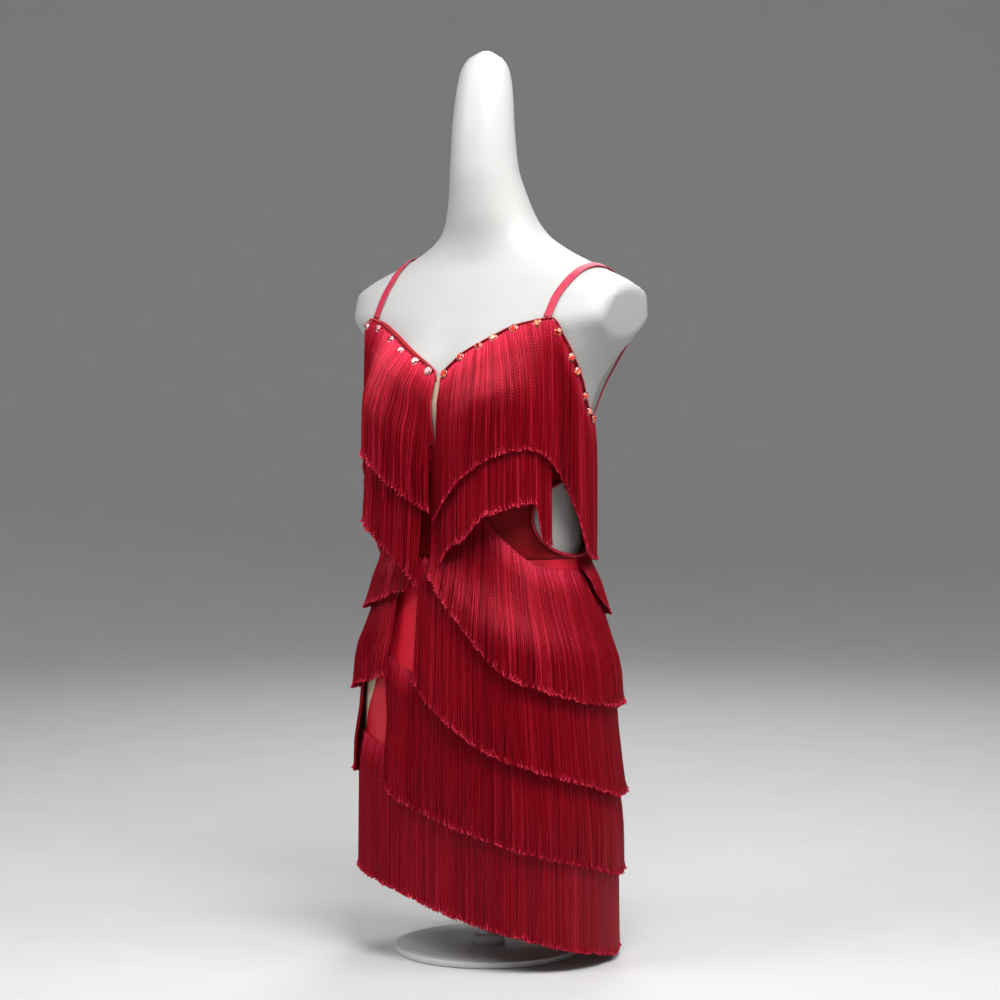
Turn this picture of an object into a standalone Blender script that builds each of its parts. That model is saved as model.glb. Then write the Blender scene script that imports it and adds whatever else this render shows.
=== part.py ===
"""Latin dance dress with tiered fringe, on a limbless dress form with a post and a round base.

Metres, +Z up. The form faces -Y and its left side is +X. The origin is the centre of the base's
underside, on the floor. A bearing is an angle about the Z axis, in degrees: 0 at the front, 90 at
the wearer's left, 180 at the back and 270 at the wearer's right.
"""

import math
from collections import namedtuple

import bmesh
import bpy
import numpy as np

# ---------------------------------------------------------------- driving dimensions
SEAM_GAP = 0.0003  # between two neighbouring pieces
FORM_INSET = 0.0013  # from the figure's sections in to the form's skin
CLOTH_GAP = 0.0019  # from the figure's sections out to the inside of the cloth
CLOTH_WALL = 0.0012
MESH_WALL = 0.0010
STRAP_WIDTH = 0.010
STRAP_WALL = 0.0012

FRINGE_WALL = 0.0024  # thickness of a fringe strip and of its locks
FRINGE_SEAT = 0.0006  # from the cloth to the strip sewn on it
STRIP_HEIGHT = 0.006
LOCK_PITCH = 0.0272
LOCK_SPACE = 0.0048  # between two neighbouring locks
LOCK_CLEARANCE = 0.0029  # from a lock to what it hangs over
WIDE_REACH = 6.0  # degrees to each side over which a lock clears what it covers
NEAR_REACH = 3.0  # the same where only smooth cloth lies under the fringe
CLEAR_SHARE = 0.42  # part of a lock's length over which each of its corners clears what it covers
ROOT_DROP = 0.014  # height of a lock's first, short length
STRIP_SLACK = 0.004  # how far above and below itself a strip clears the cloth

TRIM_RADIUS = 0.0019
TRIM_LIFT = 0.0024  # from the cloth to the trim's thickest places
STONE_RADIUS = 0.0042
STONE_PITCH = 0.027
STONE_END_BEARING = 102.0  # the back's edge has no stones
TRIM_INSET = 0.0022  # from the cloth's edge down to the middle of the trim
ROOT_INSET = 0.0155  # from the cloth's edge down to the roots of the fringe
BINDING_RADIUS = 0.0021

UNDERBUST = 0.632  # seam between the cups and the midriff
BACK_ROW = 0.665  # last level row of the back, under its upper edge
MIDRIFF_COLUMNS = 19
WAIST = 0.513  # seam between the midriff and the skirt
CENTRE_GAP = 0.0065  # half width of the mesh strip between the cups
CENTRE_DROP = 0.002  # from the cups' edge down to the top of that strip
SIDE_SEAM = 90.0
FRONT_RADIUS = 0.11  # from the Z axis to the cloth, near enough to turn a short length into an angle
SIDE_RADIUS = 0.14  # the same at the bust's side seam
WAIST_RADIUS = 0.13
HIP_RADIUS = 0.16
SKIRT_BELOW_ROOTS = 0.006  # how far the skirt's cloth runs below the lowest fringe strip

HOLE_BEARING = 90.0  # side cut-out at the wearer's left of the waist, on the side seam
HOLE_HEIGHT = 0.566
HOLE_HALF_BEARING = 28.5
HOLE_HALF_HEIGHT = 0.048
HOLE_ROWS = 7

INSET_AXIS = 285.0  # bearing about which the hip's mesh inset is symmetric
INSET_HALF_TOP = 49.0
INSET_HALF_HEM = 15.0
INSET_HEM = 0.285  # height where the inset is down to its lower width
SEAM_STEPS = 6  # steps that settle where the slanting seam crosses a row of the skirt
SKIRT_ROWS = 8
SKIRT_COLUMNS = 34
INSET_COLUMNS = 8

FORM_BOTTOM = 0.202
FORM_UNDERSIDE = ((0.0, 0.93), (0.0025, 0.982), (0.009, 1.0))  # rise and width of the rounded edge
FRONT_BEARINGS = (9, 18, 27, 36, 45, 53, 60, 66, 69, 72, 78, 84)  # of form and cups
CUP_SHARES = (0.0, 0.14, 0.28, 0.42, 0.56, 0.70, 0.80, 0.90, 1.0)  # rows of a cup, of its height
TORSO_RINGS = (0.24, 0.29, 0.335, 0.37, 0.405, 0.44, 0.47, 0.495, 0.512, 0.527, 0.545, 0.57, 0.592)
BACK_BEARINGS = (101.25, 112.5, 123.75, 135, 146.25, 157.5, 168.75)  # of the form
POST_RADIUS = 0.015
BASE_RADIUS = 0.120
BASE_HEIGHT = 0.008
BASE_EDGE = 0.0015

Section = namedtuple("Section", "height half_width front back centre squareness")
FIGURE = (
    Section(0.202, 0.150, 0.110, 0.120, -0.003, 2.25),
    Section(0.262, 0.159, 0.116, 0.126, -0.003, 2.25),
    Section(0.317, 0.164, 0.119, 0.130, -0.003, 2.25),
    Section(0.372, 0.159, 0.117, 0.126, -0.003, 2.20),
    Section(0.432, 0.144, 0.110, 0.113, -0.002, 2.15),
    Section(0.482, 0.133, 0.103, 0.103, -0.001, 2.10),
    Section(0.527, 0.129, 0.099, 0.098, 0.000, 2.10),
    Section(0.572, 0.130, 0.098, 0.097, 0.000, 2.10),
    Section(0.632, 0.135, 0.101, 0.098, 0.000, 2.15),
    Section(0.692, 0.140, 0.104, 0.100, 0.000, 2.20),
    Section(0.730, 0.150, 0.105, 0.102, 0.006, 2.20),
    Section(0.763, 0.168, 0.107, 0.104, 0.014, 2.30),
    Section(0.792, 0.192, 0.103, 0.103, 0.021, 2.40),
    Section(0.820, 0.216, 0.093, 0.098, 0.022, 2.50),
    Section(0.843, 0.214, 0.081, 0.090, 0.022, 2.50),
    Section(0.862, 0.190, 0.074, 0.081, 0.023, 2.40),
    Section(0.880, 0.150, 0.067, 0.072, 0.023, 2.20),
    Section(0.902, 0.104, 0.061, 0.065, 0.020, 2.00),
    Section(0.920, 0.077, 0.057, 0.061, 0.015, 2.00),
    Section(0.942, 0.062, 0.054, 0.056, 0.008, 2.00),
    Section(0.972, 0.0520, 0.050, 0.051, 0.000, 2.00),
    Section(1.007, 0.0450, 0.045, 0.045, -0.008, 2.00),
    Section(1.052, 0.0415, 0.0415, 0.0415, -0.010, 2.00),
    Section(1.097, 0.0380, 0.0380, 0.0380, -0.008, 2.00),
    Section(1.127, 0.0330, 0.0330, 0.0330, -0.006, 2.00),
    Section(1.144, 0.0240, 0.0240, 0.0240, -0.005, 2.00),
    Section(1.152, 0.0110, 0.0110, 0.0110, -0.005, 2.00),
)
FORM_TOP = 1.155

BUST_BEARING = 37.0
BUST_HEIGHT = 0.708
BUST_RISE = 0.027
BUST_SPREAD = 27.0
BUST_ABOVE = 0.062
BUST_BELOW = 0.042
ARM_CUT_X = 0.197  # the flat cut that ends each shoulder
ARM_CUT_HEIGHT = 0.822
ARM_CUT_TILT = 12.0
ARM_CUT_ABOVE = 0.760

Edge = namedtuple("Edge", "bearing height")
TOP_EDGE = (  # upper edge of the bodice's left half, from the front to the back
    Edge(0, 0.743),
    Edge(10, 0.757),
    Edge(20, 0.771),
    Edge(30, 0.783),
    Edge(40, 0.794),
    Edge(50, 0.804),
    Edge(60, 0.812),
    Edge(66, 0.817),
    Edge(70, 0.796),
    Edge(77, 0.765),
    Edge(83.5, 0.743),
    Edge(91, 0.716),
    Edge(97, 0.699),
    Edge(104, 0.691),
    Edge(120, 0.688),
    Edge(180, 0.688),
)
STRAP_POINT = 66.0

Tier = namedtuple("Tier", "bearing root hem")
Hem = namedtuple("Hem", "bearing height")
BUST_HEMS = (  # left half, from the front to the back; its roots follow the bodice's upper edge
    Hem(3.5, 0.564),
    Hem(10, 0.586),
    Hem(20, 0.612),
    Hem(31, 0.634),
    Hem(42, 0.648),
    Hem(52, 0.652),
    Hem(61, 0.647),
    Hem(66, 0.636),
    Hem(75, 0.600),
    Hem(82, 0.573),
    Hem(89, 0.547),
    Hem(97, 0.531),
    Hem(104, 0.524),
)
BACK_HEMS = (
    Hem(104.8, 0.523),
    Hem(120, 0.514),
    Hem(180, 0.511),
    Hem(240, 0.514),
    Hem(255.2, 0.523),
)
UNDER_TIER_LEFT = (
    Tier(6, 0.678, 0.510),
    Tier(12, 0.692, 0.527),
    Tier(21, 0.706, 0.539),
    Tier(27, 0.719, 0.554),
    Tier(32, 0.732, 0.568),
    Tier(39, 0.740, 0.575),
    Tier(50, 0.748, 0.583),
    Tier(56.5, 0.748, 0.586),
    Tier(61, 0.744, 0.560),
    Tier(65, 0.739, 0.536),
    Tier(69, 0.734, 0.532),
)
UNDER_TIER_RIGHT = (
    Tier(270, 0.648, 0.475),
    Tier(276, 0.675, 0.502),
    Tier(284, 0.702, 0.532),
    Tier(295, 0.724, 0.555),
    Tier(309, 0.726, 0.557),
    Tier(323, 0.714, 0.543),
    Tier(329, 0.706, 0.536),
    Tier(337.5, 0.690, 0.515),
    Tier(345, 0.675, 0.496),
    Tier(352, 0.663, 0.480),
)
WAIST_TIER = (
    Tier(127, 0.594, 0.436),
    Tier(150, 0.594, 0.436),
    Tier(180, 0.596, 0.434),
    Tier(220, 0.598, 0.436),
    Tier(260, 0.602, 0.438),
    Tier(294, 0.607, 0.442),
    Tier(306, 0.613, 0.448),
    Tier(319, 0.621, 0.456),
    Tier(335, 0.632, 0.470),
    Tier(343, 0.638, 0.477),
    Tier(349.5, 0.642, 0.492),
)
TIER_A = (
    Tier(-6.5, 0.652, 0.501),
    Tier(8, 0.627, 0.463),
    Tier(18, 0.603, 0.440),
    Tier(27, 0.578, 0.413),
    Tier(40, 0.543, 0.378),
    Tier(50, 0.526, 0.364),
    Tier(60, 0.509, 0.352),
    Tier(70, 0.502, 0.342),
    Tier(88, 0.498, 0.331),
    Tier(102, 0.492, 0.325),
    Tier(140, 0.490, 0.324),
    Tier(180, 0.491, 0.325),
    Tier(220, 0.493, 0.327),
    Tier(260, 0.497, 0.332),
    Tier(294, 0.500, 0.337),
    Tier(307, 0.504, 0.349),
    Tier(319, 0.508, 0.358),
    Tier(335, 0.511, 0.367),
)
TIER_B = (
    Tier(-13.5, 0.508, 0.361),
    Tier(-7, 0.499, 0.343),
    Tier(0, 0.490, 0.328),
    Tier(10, 0.476, 0.311),
    Tier(19, 0.464, 0.299),
    Tier(30, 0.446, 0.281),
    Tier(49, 0.425, 0.260),
    Tier(68, 0.406, 0.241),
    Tier(85, 0.390, 0.225),
    Tier(102, 0.380, 0.215),
    Tier(140, 0.377, 0.212),
    Tier(180, 0.380, 0.215),
    Tier(240, 0.386, 0.221),
    Tier(294, 0.393, 0.228),
    Tier(309, 0.409, 0.244),
)
TIER_C = (
    Tier(-33, 0.384, 0.227),
    Tier(-25, 0.373, 0.211),
    Tier(-6, 0.357, 0.197),
    Tier(10, 0.345, 0.185),
    Tier(30, 0.330, 0.170),
    Tier(56, 0.308, 0.148),
    Tier(75, 0.294, 0.134),
    Tier(104, 0.270, 0.110),
    Tier(140, 0.268, 0.108),
    Tier(180, 0.284, 0.124),
    Tier(210, 0.300, 0.140),
    Tier(240, 0.315, 0.155),
)
TIER_D = (
    Tier(-60, 0.283, 0.111),
    Tier(-36, 0.275, 0.101),
    Tier(-18, 0.265, 0.092),
    Tier(0, 0.252, 0.080),
    Tier(25, 0.239, 0.067),
    Tier(56, 0.218, 0.046),
    Tier(85, 0.196, 0.024),
    Tier(103, 0.186, 0.013),
    Tier(125, 0.190, 0.018),
    Tier(150, 0.210, 0.038),
    Tier(180, 0.232, 0.060),
    Tier(220, 0.259, 0.087),
    Tier(260, 0.279, 0.107),
    Tier(300, 0.283, 0.111),
)

ENVELOPE_STEP = 3.0  # degrees
ENVELOPE_RISE = 0.004
ENVELOPE_TOP = 0.860


# ---------------------------------------------------------------- curves and the figure
def smooth_columns(rows, where):
    """Reads a table at the given values of its first column, without overshoot between rows."""
    table = np.array(rows, dtype=float)
    knots = table[:, 0]
    values = table[:, 1:]
    step = np.diff(knots)[:, None]
    slope = np.diff(values, axis=0) / step
    tangent = np.vstack((slope[:1], (slope[:-1] + slope[1:]) / 2.0, slope[-1:]))
    inner_low = 2.0 * step[1:] + step[:-1]
    inner_high = step[1:] + 2.0 * step[:-1]
    same_way = slope[:-1] * slope[1:] > 0.0
    safe_before = np.where(same_way, slope[:-1], 1.0)
    safe_after = np.where(same_way, slope[1:], 1.0)
    mean = (inner_low + inner_high) / (inner_low / safe_before + inner_high / safe_after)
    tangent[1:-1] = np.where(same_way, mean, 0.0)
    where = np.asarray(where, dtype=float)
    low = np.clip(np.searchsorted(knots, where) - 1, 0, len(knots) - 2)
    width = knots[low + 1] - knots[low]
    part = np.clip((where - knots[low]) / width, 0.0, 1.0)[..., None]
    width = width[..., None]
    rest = 1.0 - part
    start = (1.0 + 2.0 * part) * rest**2 * values[low] + part * rest**2 * width * tangent[low]
    end = part**2 * (3.0 - 2.0 * part) * values[low + 1] - part**2 * rest * width * tangent[low + 1]
    return np.moveaxis(start + end, -1, 0)


def around(bearing):
    """The same bearing between -180 and 180 degrees."""
    return (bearing + 180.0) % 360.0 - 180.0


def figure_radius(bearing, height):
    """Distance from the Z axis to the figure's skin."""
    bearing, height = np.broadcast_arrays(np.asarray(bearing, float), np.asarray(height, float))
    half_width, front, back, centre, squareness = smooth_columns(FIGURE, height)
    side = np.sin(np.radians(bearing))
    ahead = np.cos(np.radians(bearing))
    low = np.zeros_like(half_width)
    high = np.full_like(half_width, 0.4)
    for _ in range(34):
        radius = (low + high) / 2.0
        depth = -radius * ahead - centre
        reach = np.where(depth < 0.0, front, back)
        outside = (np.abs(radius * side) / half_width) ** squareness + (
            np.abs(depth) / reach
        ) ** squareness > 1.0
        high = np.where(outside, radius, high)
        low = np.where(outside, low, radius)
    above = height - BUST_HEIGHT
    fade = np.where(above > 0.0, above / BUST_ABOVE, above / BUST_BELOW) ** 2
    for sign in (-1.0, 1.0):
        turn = (around(bearing) - sign * BUST_BEARING) / BUST_SPREAD
        radius = radius + BUST_RISE * np.exp(-(turn**2) - fade)
    tilt = math.radians(ARM_CUT_TILT)
    reach = ARM_CUT_X * math.cos(tilt) + (height - ARM_CUT_HEIGHT) * math.sin(tilt)
    cut = reach / np.maximum(np.abs(side) * math.cos(tilt), 1e-6)
    return np.where(height > ARM_CUT_ABOVE, np.minimum(radius, cut), radius)


class Surface:
    """A radius for each bearing and height, read between the places of a grid."""

    def __init__(self, bearings, heights, radius):
        self.bearings = bearings
        self.heights = heights
        self.radius = radius
        self.turn = bearings[1] - bearings[0]
        self.rise = heights[1] - heights[0]

    def read(self, bearing, height):
        """Radius at any bearing and height, for numbers or arrays."""
        across = (np.asarray(bearing, float) % 360.0) / self.turn
        up = (np.asarray(height, float) - self.heights[0]) / self.rise
        up = np.clip(up, 0.0, len(self.heights) - 1.001)
        i, j = across.astype(int), up.astype(int)
        s, t = across - i, up - j
        i = i % len(self.bearings)
        k = (i + 1) % len(self.bearings)
        near = self.radius[i, j] * (1.0 - t) + self.radius[i, j + 1] * t
        far = self.radius[k, j] * (1.0 - t) + self.radius[k, j + 1] * t
        return near * (1.0 - s) + far * s


def measure_skin():
    """The figure's skin on a fine grid."""
    bearings = np.arange(0.0, 360.0, 1.0)
    heights = np.linspace(FORM_BOTTOM, FIGURE[-1].height, 476)
    return Surface(bearings, heights, figure_radius(bearings[:, None], heights[None, :]))


def measure_cloth(skin):
    """The skin down to the waist; below it the cloth never moves inwards on its way down."""
    radius = skin.radius.copy()
    waist = int(np.searchsorted(skin.heights, WAIST))
    radius[:, :waist] = np.maximum.accumulate(radius[:, :waist][:, ::-1], axis=1)[:, ::-1]
    return Surface(skin.bearings, skin.heights, radius)


SKIN = measure_skin()
CLOTH = measure_cloth(SKIN)


def place(bearing, height, radius):
    """World point at a bearing, height and distance from the Z axis."""
    turn = math.radians(bearing)
    return (radius * math.sin(turn), -radius * math.cos(turn), height)


def top_edge(bearing):
    """Height of the bodice's upper edge, the same on both sides."""
    return float(smooth_columns(TOP_EDGE, abs(around(bearing)))[0])


def below_edge(bearing, distance):
    """Height of the line that lies a distance below the bodice's upper edge, square to it."""
    reach = 1.0
    rise = top_edge(bearing + reach) - top_edge(bearing - reach)
    run = math.radians(2.0 * reach) * float(CLOTH.read(bearing, top_edge(bearing)))
    return top_edge(bearing) - distance * math.hypot(1.0, rise / run)


def tier_line(fringe, bearing):
    """Root and hem heights of a fringe at a bearing."""
    return smooth_columns(fringe.rows, bearing)


def edge_tier(hems):
    """A fringe whose roots follow the bodice's upper edge."""
    return tuple(Tier(hem.bearing, below_edge(hem.bearing, ROOT_INSET), hem.height) for hem in hems)


Fringe = namedtuple("Fringe", "name rows lengths reach strip_reach closed mirrored")


def all_fringes():
    """Every fringe, from the innermost to the outermost."""
    bust = edge_tier(BUST_HEMS)
    return (
        Fringe("fringe_tier_d", TIER_D, 2, WIDE_REACH, NEAR_REACH, True, False),
        Fringe("fringe_tier_c", TIER_C, 2, WIDE_REACH, NEAR_REACH, False, False),
        Fringe("fringe_tier_b", TIER_B, 2, WIDE_REACH, 0.0, False, False),
        Fringe("fringe_tier_a", TIER_A, 3, WIDE_REACH, NEAR_REACH, False, False),
        Fringe("fringe_waist", WAIST_TIER, 3, WIDE_REACH, NEAR_REACH, False, False),
        Fringe("fringe_under_left", UNDER_TIER_LEFT, 4, NEAR_REACH, NEAR_REACH, False, False),
        Fringe("fringe_under_right", UNDER_TIER_RIGHT, 4, NEAR_REACH, NEAR_REACH, False, False),
        Fringe("fringe_back", edge_tier(BACK_HEMS), 2, NEAR_REACH, NEAR_REACH, False, False),
        Fringe("fringe_bust_left", bust, 4, WIDE_REACH, WIDE_REACH, False, False),
        Fringe("fringe_bust_right", bust, 4, WIDE_REACH, WIDE_REACH, False, True),
    )


def skirt_hem(bearing):
    """Height of the skirt cloth's lower edge, just under the lowest strip."""
    turned = (np.asarray(bearing, float) - TIER_D[0].bearing) % 360.0 + TIER_D[0].bearing
    return smooth_columns(TIER_D, turned)[0] - SKIRT_BELOW_ROOTS


# ---------------------------------------------------------------- scene helpers
def clear_scene():
    for item in list(bpy.data.objects):
        bpy.data.objects.remove(item, do_unlink=True)
    for group in list(bpy.data.collections):
        bpy.data.collections.remove(group)


def finish(name, colour, roughness, metallic=0.0):
    """A Principled material; the colour is linear RGB."""
    material = bpy.data.materials.new(name)
    material.use_nodes = True
    shader = material.node_tree.nodes["Principled BSDF"]
    shader.inputs["Base Color"].default_value = (*colour, 1.0)
    shader.inputs["Roughness"].default_value = roughness
    shader.inputs["Metallic"].default_value = metallic
    material.diffuse_color = (*colour, 1.0)
    return material


def add_object(name, data, material, collection):
    item = bpy.data.objects.new(name, data)
    item.data.materials.append(material)
    collection.objects.link(item)
    return item


def add_wall(item, thickness):
    """Gives an open surface its thickness, outwards."""
    wall = item.modifiers.new("wall", "SOLIDIFY")
    wall.thickness = thickness
    wall.offset = 1.0
    wall.use_even_offset = True
    wall.use_quality_normals = True


def mesh_object(name, mesh_builder, material, collection):
    mesh = bpy.data.meshes.new(name)
    mesh_builder.to_mesh(mesh)
    mesh_builder.free()
    mesh.shade_smooth()
    mesh.set_sharp_from_angle(angle=math.radians(40.0))
    return add_object(name, mesh, material, collection)


def face_outwards(mesh_builder):
    """Turns each face of a sheet round the Z axis so that it faces away from the axis."""
    for face in mesh_builder.faces:
        centre = face.calc_center_median()
        face.normal_update()
        if face.normal.x * centre.x + face.normal.y * centre.y < 0.0:
            face.normal_flip()


def sheet(columns, rows, point):
    """An open grid whose corner in column i and row j lies at point(i, j)."""
    mesh_builder = bmesh.new()
    bmesh.ops.create_grid(mesh_builder, x_segments=columns, y_segments=rows, size=0.5)
    for vertex in mesh_builder.verts:
        i = round((vertex.co.x + 0.5) * columns)
        j = round((vertex.co.y + 0.5) * rows)
        vertex.co = point(i, j)
    return mesh_builder


# ---------------------------------------------------------------- dress form
def build_form(materials, collection):
    """The blank torso with cut shoulders and a plain head, one closed skin."""
    lower = [(FORM_BOTTOM + rise, shrink) for rise, shrink in FORM_UNDERSIDE]
    torso = [(height, 1.0) for height in TORSO_RINGS]
    bust = [(height, 1.0) for height in np.linspace(0.612, 0.764, 9)]
    shoulder = [(height, 1.0) for height in np.linspace(0.780, 0.945, 11)]
    head = [(height, 1.0) for height in (0.975, 1.01, 1.06, 1.11, 1.137, 1.150)]
    rings = lower + torso + bust + shoulder + head
    half = (0.0, *FRONT_BEARINGS, SIDE_SEAM, *BACK_BEARINGS)
    bearings = [*half, 180.0, *(360.0 - bearing for bearing in half[:0:-1])]
    mesh_builder = bmesh.new()
    bmesh.ops.create_uvsphere(
        mesh_builder, u_segments=len(bearings), v_segments=len(rings) + 1, radius=1.0
    )
    for vertex in mesh_builder.verts:
        polar = math.acos(max(-1.0, min(1.0, -vertex.co.z)))
        ring = round(polar / math.pi * (len(rings) + 1)) - 1
        if ring < 0:
            vertex.co = (0.0, 0.0, FORM_BOTTOM)
            continue
        if ring >= len(rings):
            vertex.co = (0.0, FIGURE[-1].centre, FORM_TOP)
            continue
        column = round(math.atan2(vertex.co.x, -vertex.co.y) / (2.0 * math.pi) * len(bearings))
        bearing = bearings[column % len(bearings)]
        height, shrink = rings[ring]
        radius = (float(SKIN.read(bearing, height)) - FORM_INSET) * shrink
        vertex.co = place(bearing, height, radius)
    return mesh_object("form_body", mesh_builder, materials["form"], collection)


def build_stand(materials, collection):
    """The post under the torso and the round base plate that the whole part stands on."""
    plate = bmesh.new()
    bmesh.ops.create_cone(
        plate, cap_ends=True, segments=32, radius1=BASE_RADIUS, radius2=BASE_RADIUS, depth=BASE_HEIGHT
    )
    base = mesh_object("form_base", plate, materials["stand"], collection)
    base.location = (0.0, 0.0, BASE_HEIGHT / 2.0)
    edge = base.modifiers.new("edge", "BEVEL")
    edge.width = BASE_EDGE
    edge.segments = 1
    edge.limit_method = "ANGLE"
    length = FORM_BOTTOM - BASE_HEIGHT - 2.0 * SEAM_GAP
    tube = bmesh.new()
    bmesh.ops.create_cone(
        tube, cap_ends=True, segments=24, radius1=POST_RADIUS, radius2=POST_RADIUS, depth=length
    )
    post = mesh_object("form_post", tube, materials["stand"], collection)
    post.location = (0.0, 0.0, BASE_HEIGHT + SEAM_GAP + length / 2.0)


# ---------------------------------------------------------------- cloth
def seam_turn(radius):
    """Half of a seam's gap as an angle in degrees."""
    return math.degrees(SEAM_GAP / 2.0 / radius)


def cloth_point(bearing, height):
    return place(bearing, height, float(CLOTH.read(bearing, height)) + CLOTH_GAP)


def build_cup(name, sign, materials, collection):
    """One cup of the bodice, from the mesh strip at the front to the side seam."""
    start = math.degrees(CENTRE_GAP / FRONT_RADIUS) + seam_turn(FRONT_RADIUS)
    end = SIDE_SEAM - seam_turn(SIDE_RADIUS)
    bearings = [start, *FRONT_BEARINGS, end]
    low = UNDERBUST + SEAM_GAP / 2.0

    def point(i, j):
        bearing = bearings[i]
        height = low + (top_edge(bearing) - low) * CUP_SHARES[j]
        return cloth_point(sign * bearing, height)

    mesh_builder = sheet(len(bearings) - 1, len(CUP_SHARES) - 1, point)
    face_outwards(mesh_builder)
    item = mesh_object(name, mesh_builder, materials["cloth"], collection)
    add_wall(item, CLOTH_WALL)


def build_centre_mesh(materials, collection):
    """The narrow mesh strip between the cups."""
    half = math.degrees(CENTRE_GAP / FRONT_RADIUS) - seam_turn(FRONT_RADIUS)
    rows = 5
    low = UNDERBUST + SEAM_GAP / 2.0
    high = top_edge(0.0) - CENTRE_DROP

    def point(i, j):
        return cloth_point(-half + half * i, low + (high - low) * j / rows)

    item = mesh_object("centre_mesh", sheet(2, rows, point), materials["mesh"], collection)
    add_wall(item, MESH_WALL)


def hole_edge(height):
    """Half width of the side cut-out at a height, in degrees."""
    rise = (height - HOLE_HEIGHT) / HOLE_HALF_HEIGHT
    return HOLE_HALF_BEARING * math.sqrt(max(0.0, 1.0 - rise * rise))


def hole_heights():
    """Rows that follow the cut-out's curve, from its bottom to its top."""
    turns = np.linspace(0.0, math.pi, HOLE_ROWS)
    return [HOLE_HEIGHT - HOLE_HALF_HEIGHT * math.cos(turn) for turn in turns]


def build_midriff(materials, collection):
    """The front panel under the cups; its left edge is the front of the cut-out."""
    low = WAIST + SEAM_GAP / 2.0
    heights = [low] + hole_heights() + [UNDERBUST - SEAM_GAP / 2.0]
    columns = MIDRIFF_COLUMNS

    def point(i, j):
        height = heights[j]
        start = -SIDE_SEAM + seam_turn(WAIST_RADIUS)
        end = HOLE_BEARING - max(hole_edge(height), seam_turn(WAIST_RADIUS))
        return cloth_point(start + (end - start) * i / columns, height)

    item = mesh_object(
        "front_midriff", sheet(columns, len(heights) - 1, point), materials["cloth"], collection
    )
    add_wall(item, CLOTH_WALL)


def build_back(materials, collection):
    """The back of the bodice, from side seam to side seam and from the top edge to the waist."""
    low = WAIST + SEAM_GAP / 2.0
    heights = [low] + hole_heights() + [UNDERBUST, BACK_ROW]
    columns = MIDRIFF_COLUMNS

    def point(i, j):
        half = 0.0
        if j < len(heights) - 2:
            half = hole_edge(heights[j])
        start = HOLE_BEARING + max(half, seam_turn(WAIST_RADIUS))
        end = 360.0 - SIDE_SEAM - seam_turn(WAIST_RADIUS)
        bearing = start + (end - start) * i / columns
        height = heights[j] if j < len(heights) else top_edge(bearing)
        return cloth_point(bearing, height)

    item = mesh_object(
        "back_bodice", sheet(columns, len(heights), point), materials["cloth"], collection
    )
    add_wall(item, CLOTH_WALL)


def inset_half(height):
    """Half width of the hip inset at a height, in degrees."""
    share = (height - INSET_HEM) / (WAIST - INSET_HEM)
    return INSET_HALF_HEM + (INSET_HALF_TOP - INSET_HALF_HEM) * max(0.0, share)


def skirt_height(bearing, row):
    """Height of a row of the skirt, counted up from the hem; the rows lie closer near the waist."""
    hem = float(skirt_hem(bearing))
    share = math.sin(math.pi / 2.0 * row / SKIRT_ROWS) ** 1.15
    return hem + (WAIST - SEAM_GAP / 2.0 - hem) * share


def build_skirt(materials, collection):
    """The skirt, all round but for the mesh inset over the wearer's right hip."""

    def point(i, j):
        bearing = 0.0
        height = skirt_height(INSET_AXIS, j)
        for _ in range(SEAM_STEPS):
            half = inset_half(height) + seam_turn(HIP_RADIUS)
            start = INSET_AXIS - 360.0 + half
            end = INSET_AXIS - half
            bearing = start + (end - start) * i / SKIRT_COLUMNS
            height = skirt_height(bearing, j)
        return cloth_point(bearing, height)

    mesh_builder = sheet(SKIRT_COLUMNS, SKIRT_ROWS, point)
    item = mesh_object("skirt", mesh_builder, materials["cloth"], collection)
    add_wall(item, CLOTH_WALL)


def build_inset(materials, collection):
    """The mesh over the wearer's right hip, narrowing from the waist to the hem."""

    def point(i, j):
        bearing = INSET_AXIS
        height = skirt_height(bearing, j)
        for _ in range(SEAM_STEPS):
            half = inset_half(height) - seam_turn(HIP_RADIUS)
            bearing = INSET_AXIS + half * (2.0 * i / INSET_COLUMNS - 1.0)
            height = skirt_height(bearing, j)
        return cloth_point(bearing, height)

    mesh_builder = sheet(INSET_COLUMNS, SKIRT_ROWS, point)
    item = mesh_object("hip_mesh", mesh_builder, materials["mesh"], collection)
    add_wall(item, MESH_WALL)


# ---------------------------------------------------------------- straps, trim and binding
def skin_height(x, y):
    """Height of the shoulder's upper surface over a point of the floor."""
    bearing = math.degrees(math.atan2(x, -y))
    reach = math.hypot(x, y)
    low, high = 0.780, 0.945
    for _ in range(30):
        middle = (low + high) / 2.0
        if float(SKIN.read(bearing, middle)) > reach:
            low = middle
        else:
            high = middle
    return (low + high) / 2.0


Station = namedtuple("Station", "x y height sway")
STRAP_LINE = (  # no height where the strap lies on the shoulder; the sway is added to x
    Station(0.1325, -0.050, None, 0.30),
    Station(0.1340, -0.036, None, 0.80),
    Station(0.1360, -0.018, None, 1.00),
    Station(0.1370, 0.002, None, 1.00),
    Station(0.1380, 0.022, None, 0.90),
    Station(0.1390, 0.042, None, 0.70),
    Station(0.1400, 0.060, None, 0.50),
    Station(0.1410, 0.074, None, 0.30),
    Station(0.1420, 0.086, 0.850, 0.20),
    Station(0.1430, 0.090, 0.835, 0.10),
    Station(0.1440, 0.090, 0.815, 0.00),
    Station(0.1440, 0.086, 0.790, 0.00),
    Station(0.1415, 0.080, 0.760, 0.00),
    Station(0.1365, 0.071, 0.730, 0.00),
)
STRAP_SWAY = {"strap_left": 0.013, "strap_right": -0.014}
STRAP_END_BEARING = 115.0
STRAP_LIFT = 0.0016
STRAP_SEAM = 0.0016  # from the cloth's edge up to the strap's end


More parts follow.
